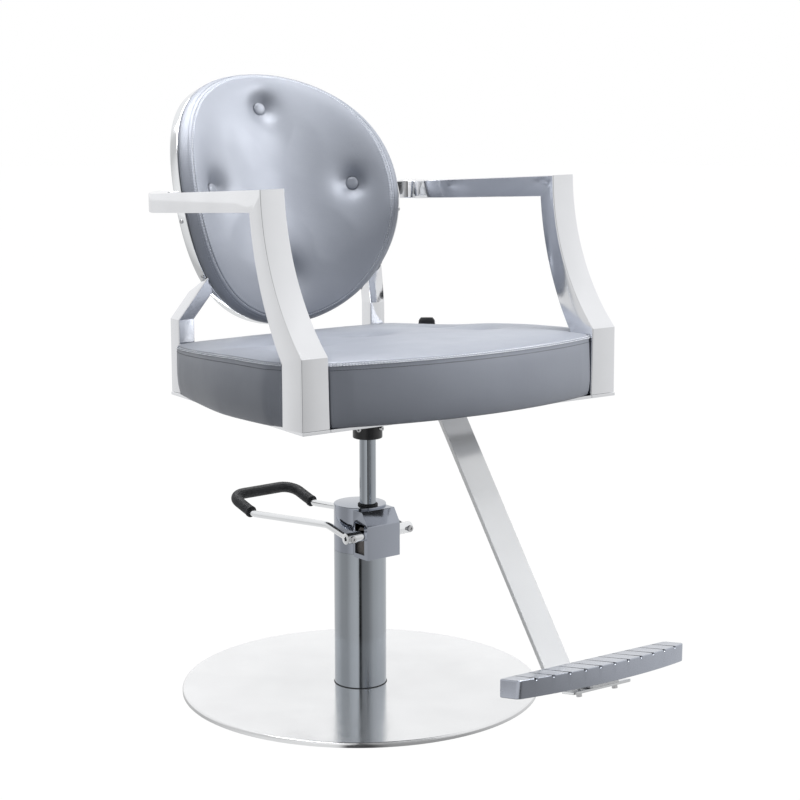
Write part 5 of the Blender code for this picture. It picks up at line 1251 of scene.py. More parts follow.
def make_arms_and_legs():
    """An arm frame and a rear leg on each side, fitted to the back's ring."""
    for side, name in ((-1, "right"), (1, "left")):
        rings = [rounded_loop(corners, ARM_EDGE, 6) for corners in arm_sections(side)]
        add_limb("arm_" + name, rings, "arm_frame_" + name, 18)
        x = side * (LEG_OUTER_X - 0.5 * LEG_W)
        rings = [
            leg_section(x, LEG_Y, lambda y: frame_top_z(y) + GAP),
            leg_section(x, LEG_Y, lambda y: LEG_KINK_Z),
            leg_section(side * LEG_TOP[0], LEG_TOP[1], lambda y: LEG_TOP[2]),
        ]
        add_limb("leg_" + name, rings, "rear_leg_" + name, 19)


# ---------------------------------------------------------------- back


def back_point(across, up, depth):
    """A point of the back: across and up on the bent face, depth behind its seam."""
    turn = across / BACK_BEND_R
    forward = BACK_BEND_R * (1 - math.cos(turn)) - depth * math.cos(turn)
    x = (BACK_BEND_R + depth) * math.sin(turn)
    y = BACK_Y + up * math.sin(BACK_LEAN) - forward * math.cos(BACK_LEAN)
    z = BACK_Z + up * math.cos(BACK_LEAN) + forward * math.sin(BACK_LEAN)
    return Vector((x, y, z))


def back_circle(radius, depth, steps):
    """Points of a circle about the middle of the bent face."""
    return [back_point(radius * math.cos(a), radius * math.sin(a), depth) for a in full_turn(steps)]


def bent_lathe(profile, steps):
    """Turns a profile of (radius, depth) on the bent face, shut at the centre on both ends."""
    bm = bmesh.new()
    rings = [back_circle(radius, depth, steps) for radius, depth in profile if radius > WELD]
    rows = [[bm.verts.new(point) for point in ring] for ring in rings]
    skin(bm, rows)
    for row, depth in ((rows[0], profile[0][1]), (rows[-1], profile[-1][1])):
        hub = bm.verts.new(back_point(0.0, 0.0, depth))
        for i in range(steps):
            bm.faces.new((row[i], row[(i + 1) % steps], hub))
    return bm


def back_tufts():
    """Where the four buttons sit on the back: a diamond about a point just above the middle."""
    for turn in (0, 90, 180, 270):
        angle = math.radians(turn)
        yield BACK_TUFT_R * math.cos(angle), BACK_TUFT_RISE + BACK_TUFT_R * math.sin(angle)


def back_crown(radius):
    """How far the face of the back stands out of its seam."""
    share = min(radius / BACK_SEAM_R, 1.0)
    return BACK_CROWN * (1 - share**4) ** 0.75


def make_back_ring():
    """A flat bar rolled into the back's outline: one rounded section swept round the bent face."""
    half = 0.5 * RING_DEPTH
    middle = BACK_CUSHION_T + GAP + half
    line = back_circle(RING_R, middle, ROUND_STEPS)
    further = back_circle(RING_R + OUT_STEP, middle, ROUND_STEPS)
    outward = [(far - near).normalized() for near, far in zip(line, further)]
    corners = [(0.0, -half, 0.0), (0.0, half, 0.0), (-RING_T, half, 0.0), (-RING_T, -half, 0.0)]
    section = [(p.x, p.y) for p in rounded_loop(corners, RING_EDGE, 5)]
    path = line_object("ring_line", line, True, SEAT, outward=outward)
    add_piece("back_hoop", swept(path, section, MIRROR, 24), MIRROR, "seat", ["back_ring"])

    places = []
    facings = []
    for turn, depth in HOOP_SCREWS:
        across, up = math.cos(math.radians(turn)), math.sin(math.radians(turn))
        place = back_point(RING_R * across, RING_R * up, depth)
        further_r = RING_R + SCREW_OUT_STEP
        further = back_point(further_r * across, further_r * up, depth)
        places.append(SEAT @ place)
        facings.append((further - place).normalized())
    fasteners("hoop_screws", places, facings, pan_head(HOOP_SCREW_R, HOOP_SCREW_H), ZINC, "seat")


def make_rear_panel():
    """The thin padded cover of the back, with its row of stitches."""
    front = BACK_CUSHION_T + GAP + BOARD_T + GAP
    edge = front + REAR_PANEL_T
    radius = RING_R - RING_T - GAP - REAR_PANEL_MARGIN
    profile = [(0.0, front), (radius - 0.002, front), (radius, front + 0.0015), (radius, edge - 0.001)]
    for k in range(26):
        share = 0.995 * (1 - (k / 26) ** 1.6)
        profile.append((radius * share, edge + REAR_PANEL_CROWN * (1 - share**2) ** 0.5))
    profile.append((0.0, edge + REAR_PANEL_CROWN))
    mesh = finished_mesh("rear_cover", bent_lathe(profile, 192), SEAT, 60)
    panel = add_piece("rear_cover", mesh, LEATHER, "seat", ["rear_panel"])
    seam_r = radius - REAR_SEAM_INSET
    lift = edge + REAR_PANEL_CROWN * (1 - (seam_r / radius) ** 2) ** 0.5 + 0.0001
    stitches("rear_cover_stitches", [SEAT @ p for p in back_circle(seam_r, lift, 480)], THREAD, "seat")


# ---------------------------------------------------------------- padded pieces


def periodic(values, count):
    """Resamples closed rows to more points without corners, as a sum of waves."""
    waves = np.fft.rfft(values, axis=1)
    keep = np.zeros((values.shape[0], count // 2 + 1, values.shape[2]), complex)
    keep[:, : waves.shape[1]] = waves
    return np.fft.irfft(keep, n=count, axis=1) * (count / values.shape[1])


def between_rows(values, places, wanted):
    """Resamples rows at new places along the profile with a smooth cubic."""
    out = []
    last = len(places) - 1
    for place in wanted:
        k = int(np.clip(np.searchsorted(places, place) - 1, 0, last - 1))
        t = (place - places[k]) / (places[k + 1] - places[k])
        t = min(max(t, 0.0), 1.0)
        near = [values[min(max(i, 0), last)] for i in (k - 1, k, k + 1, k + 2)]
        out.append(catmull_rom(*near, t))
    return np.array(out)


def padded_mesh(name, rows, first_pole, last_pole):
    """Skins rows of points into one closed mesh with a pole on each end."""
    count = rows.shape[1]
    points = [tuple(p) for row in rows for p in row]
    points += [tuple(first_pole), tuple(last_pole)]
    faces = []
    for k in range(rows.shape[0] - 1):
        for i in range(count):
            j = (i + 1) % count
            faces.append((k * count + i, k * count + j, (k + 1) * count + j, (k + 1) * count + i))
    pole = rows.shape[0] * count
    base = (rows.shape[0] - 1) * count
    for i in range(count):
        j = (i + 1) % count
        faces.append((pole, j, i))
        faces.append((base + i, base + j, pole + 1))
    mesh = bpy.data.meshes.new(name)
    mesh.from_pydata(points, [], faces)
    bm = bmesh.new()
    bm.from_mesh(mesh)
    bmesh.ops.recalc_face_normals(bm, faces=bm.faces)
    bm.to_mesh(mesh)
    bm.free()
    mesh.shade_smooth()
    return mesh


# Passes that ease the small creases of the simulated cover, as the wadding under real leather does
SMOOTHING = 24
# Rows round the middle of a cover that move together, where the grid is too fine to crease
CALM_ROWS = 14
# Frames in which the cloth comes to rest
SWELL_FRAMES = 20


def swelled(rows, poles, held, pressure, slack, limit):
    """How far a sewn cover moves as cloth that its filling pushes out while its held points stay."""
    mesh = padded_mesh("swelling", rows, *poles)
    obj = bpy.data.objects.new("swelling", mesh)
    bpy.context.scene.collection.objects.link(obj)
    group = obj.vertex_groups.new(name="held")
    for index, weight in enumerate(held.ravel()):
        group.add([index], float(weight), "REPLACE")
    group.add([rows.shape[0] * rows.shape[1] + 1], 1.0, "REPLACE")
    cloth = obj.modifiers.new("filling", "CLOTH")
    settings = cloth.settings
    settings.quality = 8
    settings.mass = 0.4
    settings.tension_stiffness = 25.0
    settings.compression_stiffness = 25.0
    settings.shear_stiffness = 8.0
    settings.bending_stiffness = 5.0
    settings.use_pressure = True
    settings.uniform_pressure_force = pressure
    settings.shrink_min = -slack
    settings.vertex_group_mass = "held"
    settings.pin_stiffness = 4.0
    settings.effector_weights.gravity = 0.0
    cloth.point_cache.frame_start = 1
    cloth.point_cache.frame_end = SWELL_FRAMES
    scene = bpy.context.scene
    for number in range(1, SWELL_FRAMES + 1):
        scene.frame_set(number)
    graph = bpy.context.evaluated_depsgraph_get()
    moved = np.array([v.co for v in obj.evaluated_get(graph).data.vertices])
    bpy.data.objects.remove(obj)
    scene.frame_set(1)
    shift = moved[: rows.shape[0] * rows.shape[1]].reshape(rows.shape) - rows
    for number in range(SMOOTHING):
        beside = np.roll(shift, 1, axis=1) + np.roll(shift, -1, axis=1)
        above = np.concatenate([shift[:1], shift[:-1]]) + np.concatenate([shift[1:], shift[-1:]])
        shift = 0.2 * (shift + beside + above) * (1.0 - held)[:, :, None]
    calm = np.clip(np.arange(len(rows)) / CALM_ROWS, 0.0, 1.0)[:, None, None] ** 2
    middle = shift.mean(axis=1, keepdims=True)
    shift = middle + (shift - middle) * calm
    length = np.maximum(np.linalg.norm(shift, axis=2, keepdims=True), 1e-9)
    return shift * np.minimum(1.0, limit / length)


def outward_of(rows):
    """Unit normals of a grid of rows, pointing out of the piece."""
    along = np.gradient(rows, axis=0)
    around = np.roll(rows, -1, axis=1) - np.roll(rows, 1, axis=1)
    normal = np.cross(along, around)
    return normal / np.maximum(np.linalg.norm(normal, axis=2, keepdims=True), 1e-12)


def seam_relief(distance, around, groove, ripple):
    """The dent of a seam and the small puckers that its stitches draw beside it."""
    dent = -groove * np.exp(-((distance / SEAM_DENT_W) ** 2))
    lips = SEAM_LIP_SHARE * groove * np.exp(-(((np.abs(distance) - SEAM_LIP_AT) / SEAM_LIP_W) ** 2))
    waves = ripple * np.cos(2 * np.pi * around / STITCH_PITCH)
    fade = np.exp(-np.abs(distance) / PUCKER_REACH)
    return (dent + lips)[:, None] + fade[:, None] * waves[None, :]


def sew_cover(rows, shift, coarse_face, face, band, length, groove, ripple):
    """Adds the swelling of the filling and the relief of the seam to the rows of a cover."""
    count = rows.shape[1]
    from_seam = [-s for s in reversed(face)]
    coarse_places = np.array([-s for s in reversed(coarse_face)])
    eased = between_rows(shift[: len(coarse_face)], coarse_places, from_seam)
    rows[: len(face)] += periodic(eased, count)
    hidden = [1.0] * (len(rows) - len(face) - len(band))
    distance = np.array([*from_seam, *band, *hidden])
    around = np.arange(count) * length / count
    rows += outward_of(rows) * seam_relief(distance, around, groove, ripple)[:, :, None]


def stitch_rows(rows, place, seams, radius):
    """Stitches along rows of a cover, each as (name, row, finish, lift, steps round the seam)."""
    outward = outward_of(rows)
    for title, row, finish, lift, step in seams:
        line = np.roll(rows[row] + lift * outward[row], -step, axis=0)
        stitches(title, [place @ Vector(p) for p in line], finish, "seat", radius)


def dimple(distance, depth, spread, floor_r):
    """How deep a tuft draws the leather in: flat under the button, then steep and easing out."""
    reach = np.maximum(distance - floor_r, 0.0) / spread
    return depth * np.exp(-(reach**1.3))


# Rows of the covers by their distance from the seam, close together beside it where the stitches pucker
SEAM_ROWS = (0.0008, 0.0016, 0.0026, 0.004, 0.006, 0.009)
BACK_FACE_ROWS = (0.0, *SEAM_ROWS, 0.013, 0.018, 0.024, 0.031, 0.038, 0.045, 0.052, 0.059, 0.066, 0.073,
                  0.081, 0.090, 0.100, 0.111, 0.124, 0.139, 0.156, 0.175, 0.194, 0.208)
BACK_BAND_ROWS = (*SEAM_ROWS, 0.0125, 0.016, 0.019, 0.0215, 0.0232)


def back_face_point(radius, angle):
    """The sewn face of the back cushion at rest, with its tufts."""
    across, up = radius * math.cos(angle), radius * math.sin(angle)
    near = min(math.hypot(across - x, up - y) for x, y in back_tufts())
    pull = float(dimple(near, BACK_TUFT_D, BACK_PIT_SPREAD, 0.85 * BUTTON_R))
    return back_point(across, up, -back_crown(radius) + pull)


def back_band_point(reach, angle):
    """The side band behind the seam, swelling a little before it tucks in behind the ring's front."""
    share = reach / BACK_CUSHION_T
    rear_r = BACK_SEAM_R + BACK_CUSHION_FLARE
    swell = math.sin(0.5 * math.pi * min(share / TUCK_FROM, 1.0)) ** 0.9
    radius = mix(BACK_SEAM_R, rear_r, swell)
    if share > TUCK_FROM:
        radius -= TUCK_IN * ((share - TUCK_FROM) / (1.0 - TUCK_FROM)) ** 2
    return back_point(radius * math.cos(angle), radius * math.sin(angle), reach)


def back_rows(face, band, count):
    """Rows from the centre of the face over the seam to the rear edge, as an array."""
    angles = full_turn(count)
    rows = [[back_face_point(BACK_SEAM_R - s, a) for a in angles] for s in reversed(face)]
    rows += [[back_band_point(s, a) for a in angles] for s in band]
    board_r = RING_R - RING_T - GAP
    rows += [back_circle(radius, BACK_CUSHION_T, count) for radius in (board_r, 0.5 * board_r)]
    return np.array([[tuple(p) for p in row] for row in rows])


def make_back_cushion():
    """The tufted round cushion: swelled on a coarse grid, then sewn on a fine one."""
    poles = (back_point(0.0, 0.0, -BACK_CROWN), back_point(0.0, 0.0, BACK_CUSHION_T))
    coarse_face = [0.0, 0.004, 0.009, 0.015, *(0.022 + 0.0072 * k for k in range(26))]
    coarse_count = 120
    coarse = back_rows(coarse_face, (0.008, 0.016, 0.0232), coarse_count)
    held = np.zeros(coarse.shape[:2])
    held[len(coarse_face) - 1:] = 1.0
    for k, s in enumerate(reversed(coarse_face)):
        radius = BACK_SEAM_R - s
        for i, a in enumerate(full_turn(coarse_count)):
            across, up = radius * math.cos(a), radius * math.sin(a)
            if min(math.hypot(across - x, up - y) for x, y in back_tufts()) < BUTTON_R:
                held[k, i] = 1.0
    shift = swelled(coarse, poles, held, pressure=1.6, slack=0.004, limit=0.003)

    length = 2 * math.pi * BACK_SEAM_R
    rows = back_rows(BACK_FACE_ROWS, BACK_BAND_ROWS, 4 * round(length / STITCH_PITCH))
    sew_cover(rows, shift, coarse_face, BACK_FACE_ROWS, BACK_BAND_ROWS, length, groove=0.0011, ripple=0.00028)
    mesh = padded_mesh("back_pad", rows, rows[0].mean(axis=0), poles[1])
    mesh.transform(SEAT)
    pad = add_piece("back_pad", mesh, LEATHER, "seat", ["back_cushion"])
    seam_row = len(BACK_FACE_ROWS) - 1
    seams = (
        ("back_seam_stitches", seam_row, THREAD, 0.0007, 0),
        ("back_band_stitches", seam_row + 5, LEATHER, 0.0007, 0),
    )
    stitch_rows(rows, SEAT, seams, THREAD_R)


def make_buttons():
    """Covered buttons: a low dome over a rounded rim, set in each tuft."""
    for number, (across, up) in enumerate(back_tufts(), start=1):
        face = -back_crown(math.hypot(across, up)) + BACK_TUFT_D
        place = back_point(across, up, face)
        front = back_point(across, up, face - BUTTON_H) - place
        turn = front.to_track_quat("Z", "Y").to_matrix().to_4x4()
        profile = [(0.0, 0.0), (0.80 * BUTTON_R, 0.0), (BUTTON_R, 0.0016)]
        dome_r = BUTTON_R - 0.0002
        for t in (math.radians(90 - 7.5 * k) for k in range(1, 13)):
            profile.append((dome_r * math.sin(t) ** 0.8, 0.0020 + (BUTTON_H - 0.0020) * math.cos(t)))
        button = lathe([*profile[:-1], (0.0, BUTTON_H)], 56)
        mesh = finished_mesh("button", button, SEAT @ Matrix.Translation(place) @ turn, 70)
        add_piece(f"covered_button_{number}", mesh, LEATHER, "seat", [f"back_button_{number}"])


# ---------------------------------------------------------------- seat cushion


def seat_half():
    """The left half of the seam line in plan as (x, y, bulge share), from front middle to rear middle."""
    top_of_bow = SEAT_FRONT_Y - SEAT_FRONT_BOW
    corner_x = SEAT_FRONT_X - SEAT_FRONT_CORNER_R
    bow = arc_through((-corner_x, SEAT_FRONT_Y), (0.0, top_of_bow), (corner_x, SEAT_FRONT_Y), 60)[30:]
    notch_y = POST_REAR_FOOT_Y - FRAME_FRONT_Y + SEAT_POST_GAP
    walls = [
        (corner_x, SEAT_FRONT_Y, 0.0),
        (SEAT_FRONT_X, SEAT_FRONT_Y + SEAT_NOSE, 0.0),
        (SEAT_FRONT_X, notch_y, 0.0),
        (SEAT_SIDE[0][0] - SEAT_NOSE, notch_y, 0.0),
        (*SEAT_SIDE[0], 0.0),
    ]
    notch = rounded(walls, [SEAT_FRONT_CORNER_R, SEAT_NOTCH_R, SEAT_SHOULDER_R], 8)
    side = smooth_through(SEAT_SIDE, 12)
    corner_x = SEAT_SIDE[-1][0] - SEAT_REAR_LEAN
    corner = [(*SEAT_SIDE[-1], 0.0), (corner_x, SEAT_REAR_Y, 0.0), (0.0, SEAT_REAR_Y, 0.0)]
    rear = rounded(corner, [SEAT_REAR_R], 10)
    half = [(x, y, 0.4) for x, y in bow[:-1]]
    half += [(p.x, p.y, 0.0) for p in notch[:-1]]
    half += [(x, y, 1.0) for x, y in side]
    half += [(p.x, p.y, 0.15) for p in rear[1:]]
    return half


def seat_outline(count):
    """The whole seam line as evenly spaced points of (x, y, bulge share), and its length."""
    half = seat_half()
    loop = half + [(-x, y, w) for x, y, w in reversed(half[1:-1])]
    loop = np.array(loop + loop[:1])
    steps = np.hypot(np.diff(loop[:, 0]), np.diff(loop[:, 1]))
    length = np.concatenate([[0.0], np.cumsum(steps)])
    wanted = np.linspace(0.0, length[-1], count, endpoint=False)
    even = np.stack([np.interp(wanted, length, loop[:, c]) for c in range(3)], axis=1)
    kernel = max(1, round(0.02 * count))
    padded = np.concatenate([even[-kernel:, 2], even[:, 2], even[:kernel, 2]])
    even[:, 2] = np.convolve(padded, np.ones(kernel) / kernel, "same")[kernel:-kernel]
    return even, length[-1]


# The side band as (share of the outline, share of the bulge, level from the frame at 0 to the seam at 1)
SEAT_BAND = (
    (0.984, 0.0, 0.0),
    (0.990, 0.14, 0.035),
    (0.995, 0.36, 0.10),
    (0.999, 0.78, 0.24),
    (1.0, 1.0, 0.42),
    (1.0, 0.94, 0.62),
    (1.0, 0.70, 0.80),
    (1.0, 0.30, 0.94),
    (1.0, 0.0, 1.0),
)
# What counts as the way from the seam to the middle of the top, for the rows of the top
SEAT_SPAN = 0.262
SEAT_TOP_ROWS = (0.0, *SEAM_ROWS, 0.013, 0.018, 0.024, 0.031, 0.039, 0.048, 0.057, 0.066, 0.075, 0.084,
                 0.093, 0.102, 0.112, 0.123, 0.135, 0.148, 0.163, 0.180, 0.200, 0.222, 0.245)
SEAT_BAND_ROWS = (*SEAM_ROWS, 0.014, 0.021, 0.030, 0.040, 0.051, 0.062, 0.072, 0.080, 0.087, 0.092, 0.0947)
# Inside this distance from the seam a tuft's pull fades to nothing
TUFT_FADE = 0.012
TUFT_FLOOR_R = 0.004
TUFT_HELD_R = 0.008


def rear_drop(y):
    """How much lower the top lies towards the rear."""
    share = np.clip((y - SEAT_DROP_FROM_Y) / (SEAT_REAR_Y - SEAT_DROP_FROM_Y), 0.0, 1.0)
    return SEAT_REAR_DROP * share * share * (3 - 2 * share)


def tuft_pull(plan):
    """How deep the tufts draw the top in at points of the plan."""
    distances = [np.hypot(plan[:, 0] - x, plan[:, 1] - y) for x, y in SEAT_TUFTS]
    return dimple(np.min(distances, axis=0), SEAT_TUFT_D, SEAT_PIT_SPREAD, TUFT_FLOOR_R)


def seat_rows(outline, top, band):
    """Rows from the middle of the top over the seam and down the band, in the seat plane."""
    rest = FRAME_T + GAP
    seam = FRAME_T + SEAT_SEAM_H
    centre = np.array([0.0, SEAT_MIDDLE_Y])
    flat = outline[:, :2] - centre
    reach = np.linalg.norm(flat, axis=1)
    rows = []
    for distance in reversed(top):
        share = 1.0 - distance / SEAT_SPAN
        plan = flat * share + centre
        crowned = seam + SEAT_CROWN * (1 - share**8) ** 0.5
        height = crowned - tuft_pull(plan) * min(1.0, distance / TUFT_FADE)
        rows.append(np.column_stack([plan, height - rear_drop(plan[:, 1])]))
    curve = np.array(smooth_through(SEAT_BAND, 12))
    for distance in band:
        level = 1.0 - distance / (seam - rest)
        share = np.interp(level, curve[:, 2], curve[:, 0])
        bulge = np.interp(level, curve[:, 2], curve[:, 1]) * SEAT_BULGE
        plan = flat * (share * (1.0 + bulge * outline[:, 2] / reach))[:, None] + centre
        rows.append(np.column_stack([plan, mix(rest, seam - rear_drop(plan[:, 1]), level)]))
    inner = 0.5 * (SEAT_BOARD_SHARE + SEAT_SKIRT_SHARE)
    over_board = rest + SEAT_BOARD_T + GAP
    for share, height in ((inner, rest), (inner, over_board), (0.5 * inner, over_board)):
        plan = flat * share + centre
        rows.append(np.column_stack([plan, np.full(len(plan), height)]))
    return np.array(rows)


def make_seat_cushion():
    """The bowed seat: swelled on a coarse grid, then sewn on a fine one, with three rows of stitches."""
    last_pole = (0.0, SEAT_MIDDLE_Y, FRAME_T + 2 * GAP + SEAT_BOARD_T)
    first_pole = (0.0, SEAT_MIDDLE_Y, FRAME_T + SEAT_SEAM_H + SEAT_CROWN)
    outline, length = seat_outline(144)
    coarse_top = [0.0, 0.004, 0.009, 0.015, *(0.0225 + 0.0085 * k for k in range(27))]
    coarse = seat_rows(outline, coarse_top, (0.010, 0.030, 0.060, 0.0947))
    held = np.zeros(coarse.shape[:2])
    held[len(coarse_top) - 1:] = 1.0
    for x, y in SEAT_TUFTS:
        held[np.hypot(coarse[:, :, 0] - x, coarse[:, :, 1] - y) < TUFT_HELD_R] = 1.0
    shift = swelled(coarse, (first_pole, last_pole), held, pressure=1.2, slack=0.004, limit=0.004)

    count = 4 * round(length / STITCH_PITCH)
    outline, length = seat_outline(count)
    rows = seat_rows(outline, SEAT_TOP_ROWS, SEAT_BAND_ROWS)
    sew_cover(rows, shift, coarse_top, SEAT_TOP_ROWS, SEAT_BAND_ROWS, length, groove=0.0013, ripple=0.00022)
    mesh = padded_mesh("seat_pad", rows, rows[0].mean(axis=0), last_pole)
    mesh.transform(PLANE)
    pad = add_piece("seat_pad", mesh, LEATHER, "seat", ["seat_cushion"])
    seam_row = len(SEAT_TOP_ROWS) - 1
    seams = (
        ("seat_stitches_upper", seam_row, THREAD, 0.0014, 0),
        ("seat_stitches_lower", seam_row + 3, THREAD, 0.0006, 2),
        ("seat_stitches_last", seam_row + 6, DARK_THREAD, 0.0, 0),
    )
    stitch_rows(rows, PLANE, seams, SEAT_THREAD_R)


# ---------------------------------------------------------------- footrest


def rest_top_z(y):
    """Height of the top of the footrest plate, which slopes down to the rear."""
    return REST_FRONT_Z - REST_RISE * (y - (REST_FRONT_Y - REST_FRONT_BOW))


def under_plate_z(y):
    return rest_top_z(y) - REST_PLATE_H


def offset_band(front, thickness):
    """Closes a line of (0, y, z) points into a band, its second side to the left of travel."""
    second = []
    for i, point in enumerate(front):
        behind = front[max(i - 1, 0)]
        ahead = front[min(i + 1, len(front) - 1)]
        along = (ahead - behind).normalized()
        second.append(point + Vector((0.0, -along.z, along.y)) * thickness)
    return [(p.y, p.z) for p in front] + [(p.y, p.z) for p in reversed(second)]


def make_footrest_bar(foot_front_y):
    """The flat bar bent under the seat's frame at its top and under the plate at its foot."""
    tab_z = frame_plane_z(REST_BAR_TOP[0]) - GAP
    slope = (REST_BAR_TOP[0] - REST_BAR_BOTTOM[0]) / (REST_BAR_TOP[1] - REST_BAR_BOTTOM[1])
    knee_y = REST_BAR_TOP[0] + slope * (tab_z - REST_BAR_TOP[1])
    tab_end_y = knee_y + REST_TAB_L
    run = 1.0 / slope
    offset = under_plate_z(0.0) - GAP
    heel_y = (REST_BAR_BOTTOM[1] - run * REST_BAR_BOTTOM[0] - offset) / (-REST_RISE - run)
    line = [
        (0.0, tab_end_y, frame_plane_z(tab_end_y) - GAP),
        (0.0, knee_y, frame_plane_z(knee_y) - GAP),
        (0.0, heel_y, offset - REST_RISE * heel_y),
        (0.0, foot_front_y, under_plate_z(foot_front_y) - GAP),
    ]
    front = rounded(line, [REST_BAR_BEND_R + REST_BAR_T, REST_BAR_BEND_R], 14)
    bar = prism(offset_band(front, REST_BAR_T), -0.5 * REST_BAR_W, 0.5 * REST_BAR_W, "X")
    mesh = finished_mesh("footrest_strut", bar, SEAT)
    soften(add_piece("footrest_strut", mesh, STRUT, "seat", ["footrest_bar"]), 0.0011, 3, 40)


def rest_outline(inset):
    """The footrest plate in plan: straight back and a front that bows forward."""
    half = REST_PLATE_HALF - inset
    front = REST_FRONT_Y + inset
    rear = REST_FRONT_Y + REST_END_DEPTH - inset
    bow = arc_through((-half, front), (0.0, front - REST_FRONT_BOW), (half, front), 48)
    corners = [(-half + 0.02, rear, 0.0), (-half, rear, 0.0), (-half, front, 0.0), (*bow[4], 0.0)]
    left = rounded(corners, [0.004, max(REST_CORNER_R - inset, 0.002)], 8)
    points = [(p.x, p.y) for p in left] + bow[5:-5]
    return points + [(-p.x, p.y) for p in reversed(left)]


def groove_cutters(number):
    """What one groove takes out of the plate: a channel that deepens forward and a notch at its front."""
    x = -REST_PLATE_HALF + 2 * REST_PLATE_HALF / REST_RIBS * number
    front_y = REST_FRONT_Y - REST_FRONT_BOW * (1 - (x / REST_PLATE_HALF) ** 2)
    rear_past = REST_FRONT_Y + REST_END_DEPTH + REST_CUT_PAST
    front_past = front_y - REST_CUT_PAST
    rings = []
    for y, share in ((rear_past, 0.42), (mix(rear_past, front_past, 0.6), 0.7), (front_past, 1.0)):
        z = rest_top_z(y)
        half = 0.5 * REST_GROOVE_W * share
        deep = REST_GROOVE_D * share
        left = [(half, CUT_PAST), (half, -0.5 * deep), (0.5 * half, -deep)]
        outline = [(-half, CUT_PAST), *left, (-0.5 * half, -deep), (-half, -0.5 * deep)]
        rings.append([(x + dx, y, z + dz) for dx, dz in outline])
    notch = bmesh.new()
    bmesh.ops.create_uvsphere(notch, u_segments=20, v_segments=12, radius=REST_NOTCH_R)
    spot = Matrix.Translation((x, front_y + REST_NOTCH_IN, rest_top_z(front_y) - REST_NOTCH_LOW))
    return [helper(f"groove_{number}", loft(rings)), helper(f"notch_{number}", notch, spot)]


def make_footrest_plate():
    """The bowed plate with rounded edges and its row of grooves."""
    rings = []
    for k in range(6):
        turn = math.radians(18 * k)
        inset = REST_EDGE * (1 - math.sin(turn))
        drop = REST_EDGE * (1 - math.cos(turn))
        rings.append([(x, y, rest_top_z(y) - drop) for x, y in rest_outline(inset)])
    for inset, drop in ((0.0, REST_PLATE_H - 0.001), (0.001, REST_PLATE_H)):
        rings.append([(x, y, rest_top_z(y) - drop) for x, y in rest_outline(inset)])
    cutters = [cutter for number in range(1, REST_RIBS) for cutter in groove_cutters(number)]
    plate = combine(helper("plate", loft(rings)), "DIFFERENCE", *cutters)
    mesh = mesh_only(plate, 26)
    mesh.transform(SEAT)
    add_piece("ribbed_footrest", mesh, FOOTREST, "seat", ["footrest_plate"])


def make_footrest_clamp(foot_front_y):
    """The strap under the bar's foot and the two bolts that pull it up to the plate."""
    foot_drop = REST_BAR_T / math.cos(REST_TILT) + 2 * GAP
    y0 = foot_front_y + 0.004
    y1 = y0 + CLAMP_PLATE_Y
    half = 0.5 * CLAMP_PLATE_X
    corners = [(-half, y0, 0.0), (half, y0, 0.0), (half, y1, 0.0), (-half, y1, 0.0)]
    outline = rounded_loop(corners, 0.004, 8)
    drops = (foot_drop, foot_drop + CLAMP_PLATE_T)
    rings = [[(p.x, p.y, under_plate_z(p.y) - drop) for p in outline] for drop in drops]
    mesh = finished_mesh("strap", loft(rings), SEAT)
    soften(add_piece("footrest_strap", mesh, MIRROR, "seat", ["footrest_clamp"]), 0.0006)

    bolt_y = 0.5 * (y0 + y1)
    seat_z = under_plate_z(bolt_y) - foot_drop - CLAMP_PLATE_T
    down = Vector((0.0, -math.sin(REST_TILT), -math.cos(REST_TILT)))
    places = [SEAT @ Vector((x, bolt_y, seat_z)) for x in (REST_BOLT_X, -REST_BOLT_X)]
    round_r = REST_BOLT_R * math.cos(math.pi / 6)
    head = helper("hex_head", disc(REST_BOLT_R, -GAP, REST_BOLT_H, 6))
    past_r, past_h = 2 * REST_BOLT_R, 2 * REST_BOLT_H
    cap = [(0.0, past_h), (past_r, past_h), (past_r, REST_BOLT_H - REST_BOLT_CHAMFER)]
    cap += [(round_r, REST_BOLT_H), (0.0, REST_BOLT_H)]
    head = combine(head, "DIFFERENCE", helper("head_chamfer", lathe(cap, 48)))
    nodes = ["footrest_bolt_left", "footrest_bolt_right"]
    fasteners("footrest_bolts", places, [down, down], head, ZINC, "seat", nodes)
    shank = helper("shank", disc(0.6 * REST_BOLT_R, 0.0, 0.6 * REST_PLATE_H, 24))
    fasteners("footrest_bolt_shanks", places, [-down, -down], shank, ZINC, "seat")


def make_footrest():
    foot_front_y = REST_FRONT_Y - REST_FRONT_BOW + 0.020
    make_footrest_bar(foot_front_y)
    make_footrest_plate()
    make_footrest_clamp(foot_front_y)


# ---------------------------------------------------------------- swivel lock lever


def knob_rings(centre, low):
    """The grip of the lock lever: a rounded block, a little waisted and rippled."""
    across = Vector((math.cos(LOCK_GRIP_TURN), math.sin(LOCK_GRIP_TURN), 0.0))
    through = Vector((0.0, 0.0, 1.0)).cross(across)
    rings = []
    for k in range(21):
        share = k / 20
        size = (1 - (2 * abs(share - 0.5)) ** 6 * 0.30) * (1.0 - 0.02 * math.cos(share * 40))
        ring = []
        for angle in full_turn(SMALL_STEPS):
            wide = math.copysign(abs(math.cos(angle)) ** 0.5, math.cos(angle))
            deep = math.copysign(abs(math.sin(angle)) ** 0.5, math.sin(angle))
            offset = across * (0.5 * LOCK_GRIP_W * size * wide) + through * (0.5 * LOCK_GRIP_T * size * deep)
            ring.append((centre.x + offset.x, centre.y + offset.y, low + LOCK_GRIP_H * share))
        rings.append(ring)
    return rings


